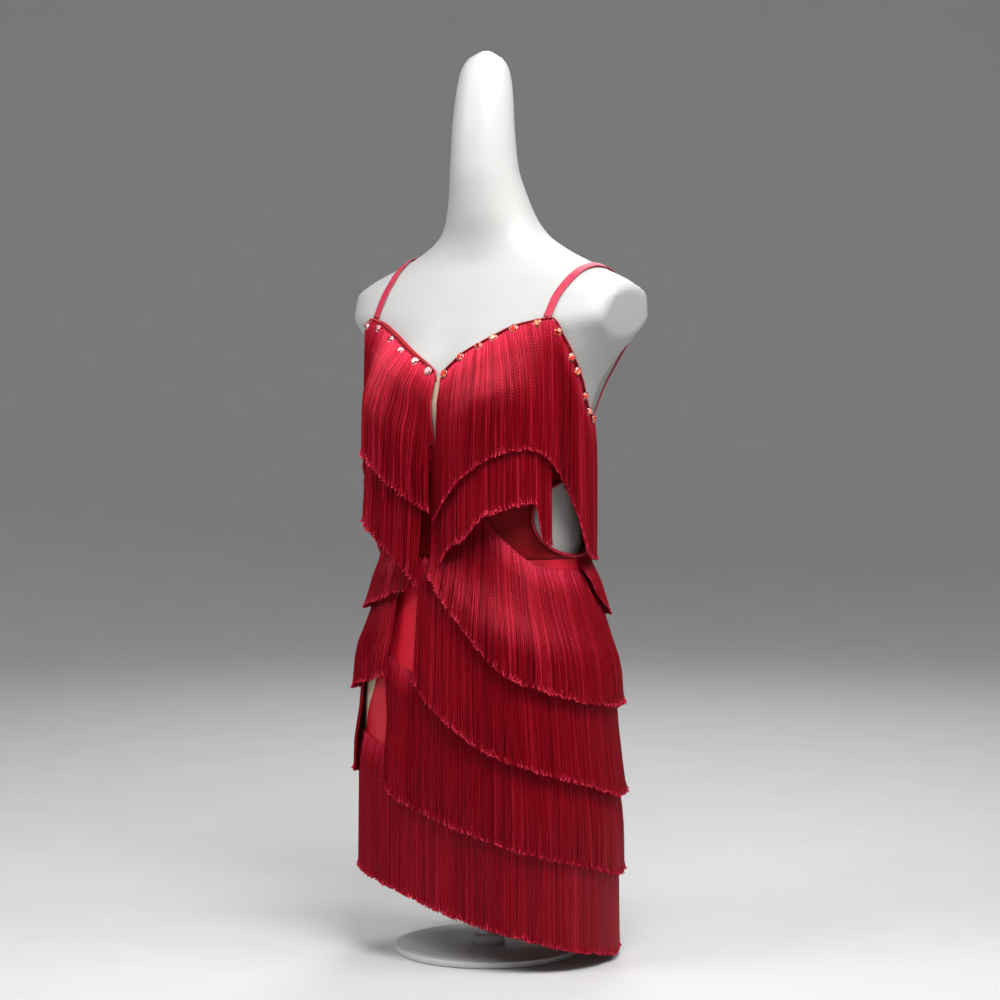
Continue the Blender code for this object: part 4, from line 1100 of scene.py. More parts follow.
class StrandTree(GeometryTree):
    """Geometry nodes that hang strands on a guide sheet.

    The guide's attribute "guide" gives the place along the root and the part of the strand's
    length; both are kept a little inside 0 and 1 so that strands may stray past the guide's
    nominal ends.
    """

    margin: float = 0.05
    reach: float = 1.1

    def __init__(self) -> None:
        """Builds the tree."""
        super().__init__(
            "hanging_strands", Int="Strands Points Seed",
            Float="Diameter Depth Width Bunching Sway Stray Uneven Curl Tuft Clump Contrast",
            Material="Material",
        )

    def drift(self, x: object, y: object, seed: object, scale: float) -> Socket:
        """Smooth noise from -0.5 to 0.5 along x and y."""
        where = self.combine(x, y, self.times(seed, 7.31))
        return self.less(self.noise(where, scale, 1.0), 0.5)

    def build(self) -> Socket:
        """Adds the nodes."""
        add, less, times, given = self.add, self.less, self.times, self.given
        count, seed = given["Points"], given["Seed"]
        line = self.geo("CurvePrimitiveLine", {"End": (0.0, 0.0, -1.0)})
        line = self.geo("ResampleCurve", {"Curve": line, "Count": count})
        points = self.geo("Points", {"Count": given["Strands"]})
        curves = self.geo("InstanceOnPoints", {"Points": points, "Instance": line})
        curves = self.geo("RealizeInstances", {"Geometry": curves})

        index = self.geo("InputIndex", {})
        strand = self.math("FLOOR", self.math("DIVIDE", add(index, 0.5), count))
        step = less(index, times(strand, count))
        share = self.math("DIVIDE", step, less(count, 1.0))
        along = self.math("SINE", times(share, math.pi / 2.0))

        place_in, depth_in, stray_in, length_in, curl_in, turn_in, tone_in = (
            self.random(add(seed, float(k)), index=strand) for k in range(1, 8)
        )
        stray_in, length_in = less(stray_in, 0.5), less(length_in, 0.5)
        turn_in = times(turn_in, 2.0 * math.pi)

        root = self.math("DIVIDE", add(strand, place_in), given["Strands"])
        metres = times(root, given["Width"])
        fine = self.drift(metres, times(along, 0.006), seed, 85.0)
        broad = self.drift(metres, times(along, 0.012), add(seed, 3.0), 28.0)
        swing = self.drift(metres, times(along, 0.03), add(seed, 5.0), 12.0)
        group = self.drift(metres, times(along, 0.0012), add(seed, 7.0), 430.0)
        fall = self.math("POWER", along, 1.2)
        aside = times(add(times(fine, 0.011), times(broad, 0.022)), given["Bunching"], fall)
        aside = add(aside, times(swing, given["Sway"], fall))
        stray = times(stray_in, stray_in, stray_in, 8.0, given["Stray"], fall, fall)
        aside = add(aside, stray, times(group, given["Clump"], fall))

        tip = self.math("MAXIMUM", less(along, 0.955), 0.0)
        tip = times(tip, tip, 1.0 / 0.045**2)
        curl_in = times(curl_in, curl_in, curl_in)
        hook = times(tip, given["Curl"], curl_in)
        aside = add(aside, times(hook, self.math("COSINE", turn_in)))
        ragged = self.drift(metres, 0.0, add(seed, 9.0), 60.0)
        uneven = times(add(length_in, times(ragged, 1.6)), given["Uneven"])
        tuft = times(depth_in, given["Tuft"])
        down = less(add(times(along, add(1.0, uneven)), tuft), times(tuft, along))
        lift = self.math("ABSOLUTE", self.math("SINE", turn_in))

        u = self.math("DIVIDE", add(metres, aside), given["Width"])
        u = add(times(u, 1.0 - 2.0 * self.margin), self.margin)
        where = self.combine(u, self.math("DIVIDE", down, self.reach), 0.0)
        position = self.geo("InputPosition", {})
        base = self.geo(
            "SampleUVSurface",
            {
                "Mesh": given["Geometry"], "Value": position, "UV Map": self.vector("guide"),
                "Sample UV": where,
            },
            data_type="FLOAT_VECTOR",
        )
        flat = self.vectors("MULTIPLY", {0: base, 1: (1.0, 1.0, 0.0)})
        outward = self.vectors("NORMALIZE", {0: flat})
        ripple = add(times(fine, 1.5), times(broad, 1.1), 0.5)
        ripple = self.math("MAXIMUM", ripple, 0.0)
        depth = add(times(depth_in, 0.45), times(ripple, fall, 0.75))
        depth = times(add(depth, times(group, 0.5)), given["Depth"])
        depth = add(depth, times(hook, lift))
        spot = self.vectors("SCALE", {0: outward, "Scale": depth})
        spot = self.vectors("ADD", {0: base, 1: spot})
        curves = self.geo("SetPosition", {"Geometry": curves, "Position": spot})

        # tone: a random tone by strand, plus painted light: lighter where strands stand further out
        # (ripple and group), painted highlights on the curled tips and near the roots (crown)
        crown = self.math("MAXIMUM", less(0.07, along), 0.0)
        tone = add(times(tone_in, 0.3), times(ripple, 0.24), -0.27)
        tone = times(add(tone, times(group, 1.15)), given["Contrast"])
        tone = add(tone, 0.4, times(tip, 0.62, curl_in), times(crown, 5.0))
        curves = self.store(curves, "tone", tone)
        spline = self.geo("SplineParameter", {}, "Length")
        curves = self.store(curves, "twist", add(times(spline, 240.0), tone_in))
        ring = {"Resolution": 3, "Radius": times(given["Diameter"], 0.5)}
        ring = self.geo("CurvePrimitiveCircle", ring)
        tube = {"Curve": curves, "Profile Curve": ring, "Fill Caps": True}
        strands = self.geo("CurveToMesh", tube)
        strands = self.geo("SetShadeSmooth", {"Geometry": strands})
        look = {"Geometry": strands, "Material": given["Material"]}
        return self.geo("SetMaterial", look)


class RowTree(GeometryTree):
    """Geometry nodes that set a small object on each point of a row.

    A point's attribute "out" is the object's Z direction there, and "along" its X direction.
    """

    def __init__(self, figure: Figure) -> None:
        """Builds the tree for rows that lie on a figure."""
        self.figure = figure
        super().__init__("placed_row", Object="Piece", Float="Uneven", Int="Seed")

    def build(self) -> Socket:
        """Adds the nodes."""
        given, align = self.given, "FunctionNodeAlignRotationToVector"
        turn = self.apply(align, {"Vector": self.vector("out")}, axis="Z")
        turned = {"Rotation": turn, "Vector": self.vector("along")}
        turn = self.apply(align, turned, axis="X", pivot_axis="Z")
        points = self.geo("MeshToPoints", {"Mesh": given["Geometry"]})
        piece = self.geo("ObjectInfo", {"Object": given["Piece"]}, "Geometry")
        low, high = self.less(1.0, given["Uneven"]), self.add(1.0, given["Uneven"])
        size = self.random(given["Seed"], low, high)
        placed = {"Points": points, "Instance": piece, "Rotation": turn, "Scale": size}
        row = self.geo("InstanceOnPoints", placed)
        shift = self.random(self.add(given["Seed"], 1.0))
        row = self.store(row, "shift", shift, "INSTANCE")
        return self.geo("RealizeInstances", {"Geometry": row})

    def place(self, name: str, line: Array, piece: Object, uneven: float, seed: int) -> Object:
        """Sets a piece on every point of a row.

        Args:
            name: Name of the finished piece.
            line: Places of the row.
            piece: The small object.
            uneven: Spread of its size as a share.
            seed: Seed of the spread.

        Returns:
            The finished piece.
        """
        along = np.gradient(line, axis=0)
        along /= np.linalg.norm(along, axis=1)[:, None]
        mesh = bpy.data.meshes.new(name)
        mesh.from_pydata([tuple(p) for p in line], [], [])
        keep_vectors(mesh, "out", self.figure.outwards(line))
        keep_vectors(mesh, "along", along)
        return self.run(name, mesh, {"Piece": piece, "Uneven": uneven, "Seed": seed})


# ---- the dress form and its stand
@dataclass
class DressForm:
    """The limbless figure, its post and its round plate."""

    figure: Figure
    inset: float = 0.0013
    turn: float = 1.5
    rings: int = 170
    bottom_round: float = 0.009
    post_radius: float = 0.015
    base_radius: float = 0.12
    base_height: float = 0.008

    def build_shell(self) -> Object:
        """The blank torso as one smooth closed skin."""
        bottom, top = FIGURE[0].height, FIGURE[-1].height
        heights = np.linspace(bottom, top - 0.001, self.rings)
        heights[1:3] = (bottom + 0.0025, bottom + 0.006)
        bearings = np.arange(0.0, 360.0, self.turn)
        rings = []
        for height in heights:
            rise = min(1.0, (height - bottom) / self.bottom_round)
            shrink = 0.93 + 0.07 * math.sqrt(1.0 - (1.0 - rise) ** 2)
            radius = (self.figure.skin.read(bearings, height) - self.inset) * shrink
            rings.append([place(b, height, r) for b, r in zip(bearings, radius)])
        crown = np.array((0.0, FIGURE[-1].centre, FORM_TOP))
        last = np.array(rings[-1])
        centre = last.mean(axis=0)
        for share in (0.72, 0.42, 0.16):
            dome = centre[2] + (crown[2] - centre[2]) * (1.0 - share**2)
            ring = centre + (last - centre) * share
            ring[:, 2] = dome
            rings.append(ring)
        mesh = tube_mesh("form_shell", np.array(rings), closed=False)
        return new_piece("form_shell", mesh, LACQUER)

    def turned(self, name: str, profile: Sequence[Pair]) -> Object:
        """A body turned about the Z axis from (radius, height) pairs."""
        mesh = tube_mesh(name, revolved(profile), closed=False)
        mesh.set_sharp_from_angle(angle=math.radians(35.0))
        return new_piece(name, mesh, STAND_PAINT)

    def build_stand(self) -> tuple[Object, Object]:
        """The round plate and the post, with softened edges."""
        edge, high, wide = 0.0015, self.base_height, self.base_radius
        plate = [(wide - edge, 0.0), (wide - 0.3 * edge, 0.3 * edge), (wide, edge)]
        plate += [(wide, high - edge), (wide - 0.3 * edge, high - 0.3 * edge), (wide - edge, high)]
        post = self.post_radius
        low, top = high + 0.0003, FIGURE[0].height - 0.0003
        collar = [(post + 0.007, low), (post + 0.007, low + 0.01), (post + 0.0055, low + 0.012)]
        collar += [(post, low + 0.0135), (post, top - 0.004), (post - 0.001, top)]
        return self.turned("form_plate", plate), self.turned("form_stem", collar)


# ---- cloth panels
class Crease(NamedTuple):
    """A shallow fold of the cloth."""

    bearing: float
    height: float
    lean: float
    length: float
    width: float
    depth: float


CREASES = table(
    Crease, (20, 0.54, 0.25, 0.06, 0.0035, 0.0007), (34, 0.556, 0.1, 0.075, 0.004, 0.0008),
    (44, 0.585, -0.2, 0.05, 0.0032, 0.0007), (6, 0.575, 0.35, 0.055, 0.003, 0.0006),
    (-18, 0.56, -0.2, 0.07, 0.004, 0.0007), (-38, 0.585, 0.15, 0.06, 0.0035, 0.0006),
    (70, 0.505, 0.05, 0.08, 0.0026, 0.0007), (110, 0.504, -0.06, 0.09, 0.0026, 0.0007),
    (52, 0.493, 0.2, 0.06, 0.003, 0.0006), (-48, 0.4, 0.3, 0.07, 0.004, 0.0007),
    (-30, 0.47, 0.4, 0.06, 0.0035, 0.0006), (-34, 0.33, 0.2, 0.06, 0.004, 0.0006),
    (150, 0.545, 0.2, 0.08, 0.0035, 0.0006), (205, 0.55, -0.15, 0.08, 0.0035, 0.0006),
    (235, 0.6, 0.1, 0.06, 0.0035, 0.0006),
)


@dataclass
class Cloth:
    """The stretched panels of the dress, each from its own corner rule."""

    figure: Figure
    edge: BodiceEdge
    seam_half: float = 0.00015
    underbust: float = 0.632
    centre_gap: float = 0.0065
    side_seam: float = 90.0
    hole_bearing: float = 90.0
    hole_height: float = 0.566
    hole_half_bearing: float = 28.5
    hole_half_height: float = 0.048
    hole_steps: int = 26
    skirt_rows: int = 42
    inset_axis: float = 285.0
    below_roots: float = 0.006
    wall: float = 0.0011
    front_radius: float = 0.11
    waist_radius: float = 0.13
    side_radius: float = 0.14
    hip_radius: float = 0.16
    grids: dict[str, Grid] = field(default_factory=dict)

    def seam_turn(self, radius: float) -> float:
        """Half of a seam's gap as an angle in degrees."""
        return math.degrees(self.seam_half / radius)

    def folded(self, bearing: float, height: float) -> float:
        """How far the creases move the cloth inwards at a place."""
        total = 0.0
        for crease in CREASES:
            across = math.radians(around(bearing - crease.bearing)) * self.waist_radius
            rise = height - crease.height
            scale = math.hypot(1.0, crease.lean)
            along = (across + rise * crease.lean) / scale
            beside = (rise - across * crease.lean) / scale
            reach = (along / (crease.length / 2.0)) ** 2 + (beside / crease.width) ** 2
            total += crease.depth * math.exp(-reach)
        return total

    def point(self, bearing: float, height: float) -> Point:
        """A point of the inside of the cloth."""
        radius = float(self.figure.cloth_inside(bearing, height))
        return place(bearing, height, radius - self.folded(bearing, height))

    def panel(self, name: str, columns: int, rows: int, corner: Corner, finish: Finish) -> Object:
        """Builds one panel of cloth with its thickness.

        Args:
            name: Name of the piece.
            columns: Number of columns of points.
            rows: Number of rows of points.
            corner: The bearing and height in a column and a row.
            finish: The cloth's finish.

        Returns:
            The piece.
        """
        spots = [[self.point(*corner(i, j)) for j in range(rows)] for i in range(columns)]
        self.grids[name] = Grid(np.array(spots))
        return with_wall(new_piece(name, self.grids[name].mesh(name), finish), self.wall)

    def build_cup(self, side: Side) -> Object:
        """One cup, from the mesh strip at the front to the side seam.

        Args:
            side: The wearer's side.

        Returns:
            The piece.
        """
        turn = self.seam_turn(self.front_radius)
        start = math.degrees(self.centre_gap / self.front_radius) + turn
        end = self.side_seam - self.seam_turn(self.side_radius)
        front = np.linspace(start, 66.0, 36)
        bearings = np.concatenate((front, np.linspace(66.0, end, 14)[1:]))
        low = self.underbust + self.seam_half
        rows = 30

        def corner(i: int, j: int) -> Pair:
            """The place of a column and a row."""
            bearing = side.value * float(bearings[i])
            return bearing, low + (float(self.edge.height(bearing)) - low) * j / (rows - 1)

        return self.panel(f"cup_{side.key}_cloth", len(bearings), rows, corner, JERSEY)

    def build_centre(self) -> Object:
        """The narrow mesh strip between the cups."""
        half = math.degrees(self.centre_gap / self.front_radius) - self.seam_turn(self.front_radius)
        low = self.underbust + self.seam_half
        high = float(self.edge.height(0.0)) - 0.002
        columns, rows = 6, 24

        def corner(i: int, j: int) -> Pair:
            """The place of a column and a row."""
            return half * (2.0 * i / (columns - 1) - 1.0), low + (high - low) * j / (rows - 1)

        return self.panel("centre_gap_mesh", columns, rows, corner, NUDE_MESH)

    def hole_edge(self, height: float) -> float:
        """Half width of the side cut-out at a height, in degrees."""
        rise = (height - self.hole_height) / self.hole_half_height
        return self.hole_half_bearing * math.sqrt(max(0.0, 1.0 - rise * rise))

    def rows_up(self, *upper: float) -> list[float]:
        """Heights from the waist's seam that follow the cut-out's curve, and the rows above it."""
        half, count = self.hole_half_height, self.hole_steps
        curve = [self.hole_height - half * math.cos(math.pi * k / count) for k in range(count + 1)]
        return [self.figure.waist + self.seam_half, *curve, *upper]

    def build_midriff(self) -> Object:
        """The front panel under the cups; its left edge is the front of the cut-out."""
        heights = self.rows_up(self.underbust - 0.009, self.underbust - self.seam_half)
        columns, turn = 56, self.seam_turn(self.waist_radius)

        def corner(i: int, j: int) -> Pair:
            """The place of a column and a row."""
            start = -self.side_seam + turn
            end = self.hole_bearing - max(self.hole_edge(heights[j]), turn)
            return start + (end - start) * i / (columns - 1), heights[j]

        # painted shade: the midriff takes the darker jersey for the shade under the rib fringe
        return self.panel("midriff_cloth", columns, len(heights), corner, JERSEY_PAINTED_SHADE)

    def build_back(self) -> Object:
        """The back of the bodice, from side seam to side seam."""
        heights = self.rows_up(self.underbust)
        columns, upper, turn = 60, 8, self.seam_turn(self.waist_radius)

        def corner(i: int, j: int) -> Pair:
            """The place of a column and a row."""
            share = i / (columns - 1)
            height = heights[min(j, len(heights) - 1)]
            start = self.side_seam + turn
            if j < len(heights) - 1:
                start = self.hole_bearing + max(self.hole_edge(height), turn)
            end = 360.0 - self.side_seam - turn
            bearing = start + (end - start) * share
            if j >= len(heights):
                part = (j - len(heights) + 1) / upper
                height += (float(self.edge.height(bearing)) - height) * part
            return bearing, height

        return self.panel("back_cloth", columns, len(heights) + upper, corner, JERSEY)

    def hem(self, bearing: float) -> float:
        """Height of the skirt's lower edge, just under the lowest fringe's roots."""
        start = TIER_D[0].bearing
        turned = (bearing - start) % 360.0 + start
        return float(smooth_columns(TIER_D, turned)[0]) - self.below_roots

    def inset_half(self, height: float) -> float:
        """Half width of the hip's mesh inset at a height, in degrees."""
        return float(smooth_columns(INSET_WIDTHS, height)[0])

    def skirt_height(self, bearing: float, share: float) -> float:
        """Height at a share of the way up from the skirt's hem to the waist."""
        hem = self.hem(bearing)
        rise = math.sin(math.pi / 2.0 * share) ** 1.15
        return hem + (self.figure.waist - self.seam_half - hem) * rise

    def build_skirt(self) -> Object:
        """The skirt, all round but for the mesh inset over the wearer's right hip."""
        columns, last, seam = 130, self.skirt_rows - 1, self.seam_turn(self.hip_radius)

        def corner(i: int, j: int) -> Pair:
            """The place of a column and a row."""
            bearing, height = 0.0, self.skirt_height(self.inset_axis, j / last)
            for _ in range(6):
                half = self.inset_half(height) + seam
                start, end = self.inset_axis - 360.0 + half, self.inset_axis - half
                bearing = start + (end - start) * i / (columns - 1)
                height = self.skirt_height(bearing, j / last)
            return bearing, height

        return self.panel("skirt_cloth", columns, self.skirt_rows, corner, SKIRT_JERSEY)

    def build_inset(self) -> Object:
        """The mesh over the wearer's right hip, narrowing from the waist to the hem."""
        columns, last, seam = 28, self.skirt_rows - 1, self.seam_turn(self.hip_radius)

        def corner(i: int, j: int) -> Pair:
            """The place of a column and a row."""
            bearing, height = 0.0, self.skirt_height(self.inset_axis, j / last)
            for _ in range(6):
                half = self.inset_half(height) - seam
                bearing = self.inset_axis + half * (2.0 * i / (columns - 1) - 1.0)
                height = self.skirt_height(bearing, j / last)
            return bearing, height

        return self.panel("hip_inset_mesh", columns, self.skirt_rows, corner, NUDE_MESH)


# ---- straps, trim and stones
@dataclass
class Straps:
    """Two flat elastic straps from the cups' points over the shoulders to the back."""

    figure: Figure
    edge: BodiceEdge
    width: float = 0.01
    wall: float = 0.0012
    lift: float = 0.0016
    seam: float = 0.0001
    front_bearing: float = 66.0
    end_bearing: float = 115.0
    sway_left: float = 0.013
    sway_right: float = -0.014
    grids: dict[str, Grid] = field(default_factory=dict)

    def line(self, side: Side, sway: float) -> Array:
        """Points of a strap's middle line, clear of the form.

        Args:
            side: The wearer's side.
            sway: How far the strap moves sideways on the shoulder.

        Returns:
            The points on the wearer's left; the right strap is their mirror image.
        """
        cloth, skin = self.figure.cloth_inside, self.figure.skin
        height = float(self.edge.height(side.value * self.front_bearing)) + self.seam
        first = self.front_bearing - 1.0
        points = [place(first, height, float(cloth(first, height)))]
        shoulder: list[list[float]] = []
        back: list[list[float]] = []
        for station in STRAP_LINE:
            x = station.x + sway * station.sway
            height = station.height
            if height is None:
                height = self.figure.shoulder_height(x, station.y) + self.lift
            bearing = math.degrees(math.atan2(x, -station.y))
            reach = math.hypot(x, station.y)
            reach = max(reach, float(skin.read(bearing, height)) + self.lift)
            (shoulder if station.height is None else back).append([bearing, height, reach])
        height = float(self.edge.height(self.end_bearing)) + self.seam
        back.append([self.end_bearing, height, float(cloth(self.end_bearing, height))])
        back.insert(0, shoulder.pop())
        for _ in range(40):  # the strap is taut down the back
            for before, row, after in zip(back, back[1:], back[2:]):
                needed = float(skin.read(row[0], row[1])) + self.lift
                row[2] = max(needed, (before[2] + after[2]) / 2.0)
        points.extend(place(*row) for row in shoulder + back)
        return np.array(points)

    def build(self, side: Side) -> Object:
        """Builds one strap.

        Args:
            side: The wearer's side.

        Returns:
            The piece.
        """
        sway = self.sway_left if side is Side.LEFT else self.sway_right
        knots = self.line(side, sway)
        travel = travelled(knots)
        rows = np.column_stack((travel, knots))
        line = np.moveaxis(smooth_columns(rows, np.linspace(0.0, travel[-1], 110)), 0, -1)
        along = np.gradient(line, axis=0)
        across = np.cross(along, self.figure.outwards(line))
        across = across / np.linalg.norm(across, axis=1)[:, None] * self.width
        points = line + across * np.linspace(-0.5, 0.5, 7)[:, None, None]
        points[..., 0] *= side.value
        name = f"strap_{side.key}_elastic"
        grid = self.grids[name] = Grid(points)
        middle = np.array((side.value * 0.13, 0.02, 0.83))
        mesh = grid.mesh(name, lambda point: point - middle)
        item = new_piece(name, mesh, ELASTIC)
        return with_wall(item, self.wall)


@dataclass(frozen=True)
class SmallParts:
    """The small things that are set in rows: a cut stone, a bead and a stitch."""

    stone_radius: float = 0.0055
    stone_height: float = 0.0038
    bead_radius: float = 0.0012
    stitch_length: float = 0.0024
    stitch_radius: float = 0.00022

    def stored(self, mesh: Mesh, *finishes: Finish) -> Object:
        """A small object, kept out of the picture."""
        for finish in finishes:
            mesh.materials.append(finish.material())
        return bpy.data.objects.new(mesh.name, mesh)

    def stone(self, finish: GemFinish) -> Object:
        """A round cut stone: table, two rows of facets and a girdle, in a thin setting.

        Args:
            finish: The finish of the facets.

        Returns:
            The stone, to be set in rows.
        """
        build = bmesh.new()
        # each facet's number picks its painted reflection tone
        layer = build.faces.layers.float.new("facet")
        wide, high, sides, round_sides = self.stone_radius * 0.9, self.stone_height, 8, 20

        def ring(count: int, share: float, rise: float, shift: float = 0.0) -> list:
            """A level ring of the stone or of its setting."""
            turns = [2.0 * math.pi * (k + shift) / count for k in range(count)]
            reach, up = wide * share, high * rise
            return [build.verts.new((reach * math.cos(t), reach * math.sin(t), up)) for t in turns]

        levels = ((0.52, 1.0, 0.0), (0.8, 0.72, 0.5), (1.0, 0.34, 0.0), (0.97, 0.0, 0.0))
        rings = [ring(sides, *level) for level in levels]
        loops = [rings[0]]
        for first, second in zip(rings, rings[1:]):
            for k in range(sides):
                m = (k + 1) % sides
                if first is rings[0]:
                    loops += [(first[k], second[k], first[m]), (second[k], second[m], first[m])]
                elif first is rings[1]:
                    loops += [(first[k], second[k], second[m]), (first[k], second[m], first[m])]
                else:
                    loops.append((first[k], second[k], second[m], first[m]))
        for k, loop in enumerate([*loops, rings[-1]]):
            build.faces.new(loop)[layer] = (k * 0.618 + 0.1) % 1.0
        setting = ((1.0, 0.0), (1.14, 0.0), (1.14, 0.3), (1.02, 0.44), (0.97, 0.36))
        outer = [ring(round_sides, *level) for level in setting]
        for below, above in zip(outer, outer[1:] + outer[:1]):
            for k in range(round_sides):
                m = (k + 1) % round_sides
                face = build.faces.new((below[k], below[m], above[m], above[k]))
                face.smooth = True
                face.material_index = 1
        bmesh.ops.recalc_face_normals(build, faces=build.faces)
        return self.stored(finished(build, "cut_stone"), finish, CUP_METAL)

    def bead(self) -> Object:
        """A small round bead."""
        build = bmesh.new()
        bmesh.ops.create_uvsphere(build, u_segments=8, v_segments=6, radius=self.bead_radius)
        mesh = finished(build, "seed_bead")
        mesh.shade_smooth()
        return self.stored(mesh, BEAD)

    def stitch(self) -> Object:
        """One stitch of thread that dips in at both ends."""
        half = self.stitch_length / 2.0
        along, dip = np.linspace(-1.0, 1.0, 4), 0.0004
        path = np.column_stack((along * half, np.zeros(4), -dip * along**2))
        ring = circle(full_turn(4), self.stitch_radius)
        outs = np.tile((0.0, 0.0, 1.0), (len(path), 1))
        rings = swept(path, outs, lambda _: ring, closed=False)
        return self.stored(tube_mesh("stitch", rings, closed=False), THREAD)


@dataclass
class Trim:
    """Twisted piping with stones and beads along the bodice's edge, and round the cut-out."""

    figure: Figure
    edge: BodiceEdge
    cloth: Cloth
    rows: RowTree
    parts: SmallParts
    radius: float = 0.0013
    inset: float = 0.0004
    sit: float = 0.0002
    lobe: float = 0.2
    turn_length: float = 0.0052
    bead_pitch: float = 0.0034
    stone_lift: float = 0.0038
    binding_radius: float = 0.0025
    binding_turn: float = 0.005
    piping_span: tuple[float, float, int] = (4.5, 179.6, 620)
    bead_span: tuple[float, float, int] = (5.2, 179.0, 900)

    def spot(self, bearing: float, lift: float, inset: float) -> Array:
        """A place just inside the bodice's edge, lifted from the cloth."""
        return np.array(self.figure.on_cloth(bearing, self.edge.below(bearing, inset), lift))

    def twisted(
        self, radius: float, lobes: int, turn_length: float, sides: int = 12
    ) -> Callable[[float], Array]:
        """A rule for the profile of a twisted cord.

        Args:
            radius: The cord's mean radius.
            lobes: Number of plies.
            turn_length: Length of one full turn.
            sides: Points of the profile.

        Returns:
            The offsets for a distance along the cord.
        """
        turns = full_turn(sides)

        def profile(distance: float) -> Array:
            """The plies at a distance along the cord."""
            wave = np.cos(lobes * (turns - 2.0 * math.pi * distance / turn_length))
            reach = radius * (1.0 - self.lobe + self.lobe * wave)
            return circle(turns, reach)

        return profile

    def build_piping(self, side: Side) -> Object:
        """The piping along half of the bodice's edge."""
        bearings = side.value * np.linspace(*self.piping_span)
        lift = self.radius + self.sit
        line = np.array([self.spot(bearing, lift, self.inset) for bearing in bearings])
        profile = self.twisted(self.radius, 3, self.turn_length)
        rings = swept(line, self.figure.outwards(line), profile, closed=False)
        name = f"trim_{side.key}_piping"
        return new_piece(name, tube_mesh(name, rings, closed=False), PIPING)

    def build_beads(self, side: Side, seed: int) -> Object:
        """The beads sewn on the piping.

        Args:
            side: The wearer's side.
            seed: Seed of the spread of their sizes.

        Returns:
            The piece.
        """
        bearings = side.value * np.linspace(*self.bead_span)
        lift = 2.0 * self.radius + self.sit + 0.2 * self.parts.bead_radius
        line = np.array([self.spot(bearing, lift, self.inset) for bearing in bearings])
        travel = travelled(line)
        count = int(travel[-1] / self.bead_pitch)
        marks = np.interp(np.linspace(0.0, travel[-1], count), travel, bearings)
        stones = self.stone_places(side)
        clear = 0.9 * self.parts.stone_radius + self.parts.bead_radius
        kept = []
        for bearing in marks:
            point = self.spot(bearing, lift, self.inset)
            if np.linalg.norm(stones - point, axis=1).min() > clear:
                kept.append(point)
        name = f"trim_{side.key}_beads"
        return self.rows.place(name, np.array(kept), self.parts.bead(), 0.08, seed)

    def stone_places(self, side: Side) -> Array:
        """Places of the stones along half of the bodice's edge."""
        table = LEFT_STONES if side is Side.LEFT else RIGHT_STONES
        lift = self.stone_lift
        return np.array([self.spot(side.value * s.bearing, lift, s.inset) for s in table])

    def build_stones(self, side: Side, seed: int) -> Object:
        """The stones along half of the bodice's edge."""
        # painted light: the wearer's right stones are the same red stones, painted darker with
        # paler glints
        finish = RED_STONE if side is Side.LEFT else RED_STONE_RIGHT_PAINTED_LIGHT
        name, places = f"trim_{side.key}_stones", self.stone_places(side)
        return self.rows.place(name, places, self.parts.stone(finish), 0.05, seed)

    def build_binding(self) -> Object:
        """The gathered binding round the cut-out."""
        cloth = self.cloth
        grow = self.binding_radius * 0.6
        points = []
        for turn in full_turn(360):
            spread = cloth.hole_half_bearing + math.degrees(grow / cloth.waist_radius)
            bearing = cloth.hole_bearing + spread * math.cos(turn)
            height = cloth.hole_height + (cloth.hole_half_height + grow) * math.sin(turn)
            lift = self.binding_radius + self.sit
            points.append(self.figure.on_cloth(bearing, height, lift))
        line = np.array(points)
        profile = self.twisted(self.binding_radius, 2, self.binding_turn)
        rings = swept(line, self.figure.outwards(line), profile, closed=True)
        return new_piece("cutout_cord", tube_mesh("cutout_cord", rings, True), BINDING)


# ---- fringe
@dataclass(frozen=True)
class FringeSpec:
    """One fringe: where it hangs and how its strands lie."""

    name: str
    node: str
    rows: Sequence[Tier]
    seed: int
    closed: bool = False
    mirrored: bool = False
    bunching: float = 0.5
    sway: float = 0.005
    stray: float = 0.003
    uneven: float = 0.022
    curl: float = 0.0045
    stiff: float = 0.012
    clearance: float = 0.0008
    depth: float = 0.0028
    density: float = 1.0
    drop: float = 0.0
    flare: float = 0.0
    clump: float = 0.0018
    contrast: float = 0.85
    stout: float = 1.0
    lean_start: float = 0.0
    lean_end: float = 0.0
    swell_end: float = 0.0

    @property
    def sign(self) -> float:
        """The sign of the fringe's bearings."""
        return -1.0 if self.mirrored else 1.0

    @property
    def ends(self) -> Pair:
        """The first and the last bearing of the fringe's table."""
        return self.rows[0].bearing, self.rows[-1].bearing

    def lines(self, bearing: float) -> Pair:
        """Root and hem heights at a bearing."""
        if self.closed:
            start, _ = self.ends
            bearing = (bearing - start) % 360.0 + start
        root, hem = smooth_columns(self.rows, bearing)
        return float(root), float(hem) - self.drop

    def turned(self, bearing: float) -> float | None:
        """A bearing brought into the range of the fringe's table, or None outside it."""
        start, end = self.ends
        bearing = (self.sign * bearing - start) % 360.0 + start
        return bearing if bearing <= end else None

    def nearest(self, bearing: float) -> float:
        """A bearing in the fringe's range, or the nearer of its ends."""
        turned = self.turned(bearing)
        if turned is not None:
            return turned
        return min(self.ends, key=lambda end: abs(around(self.sign * bearing - end)))


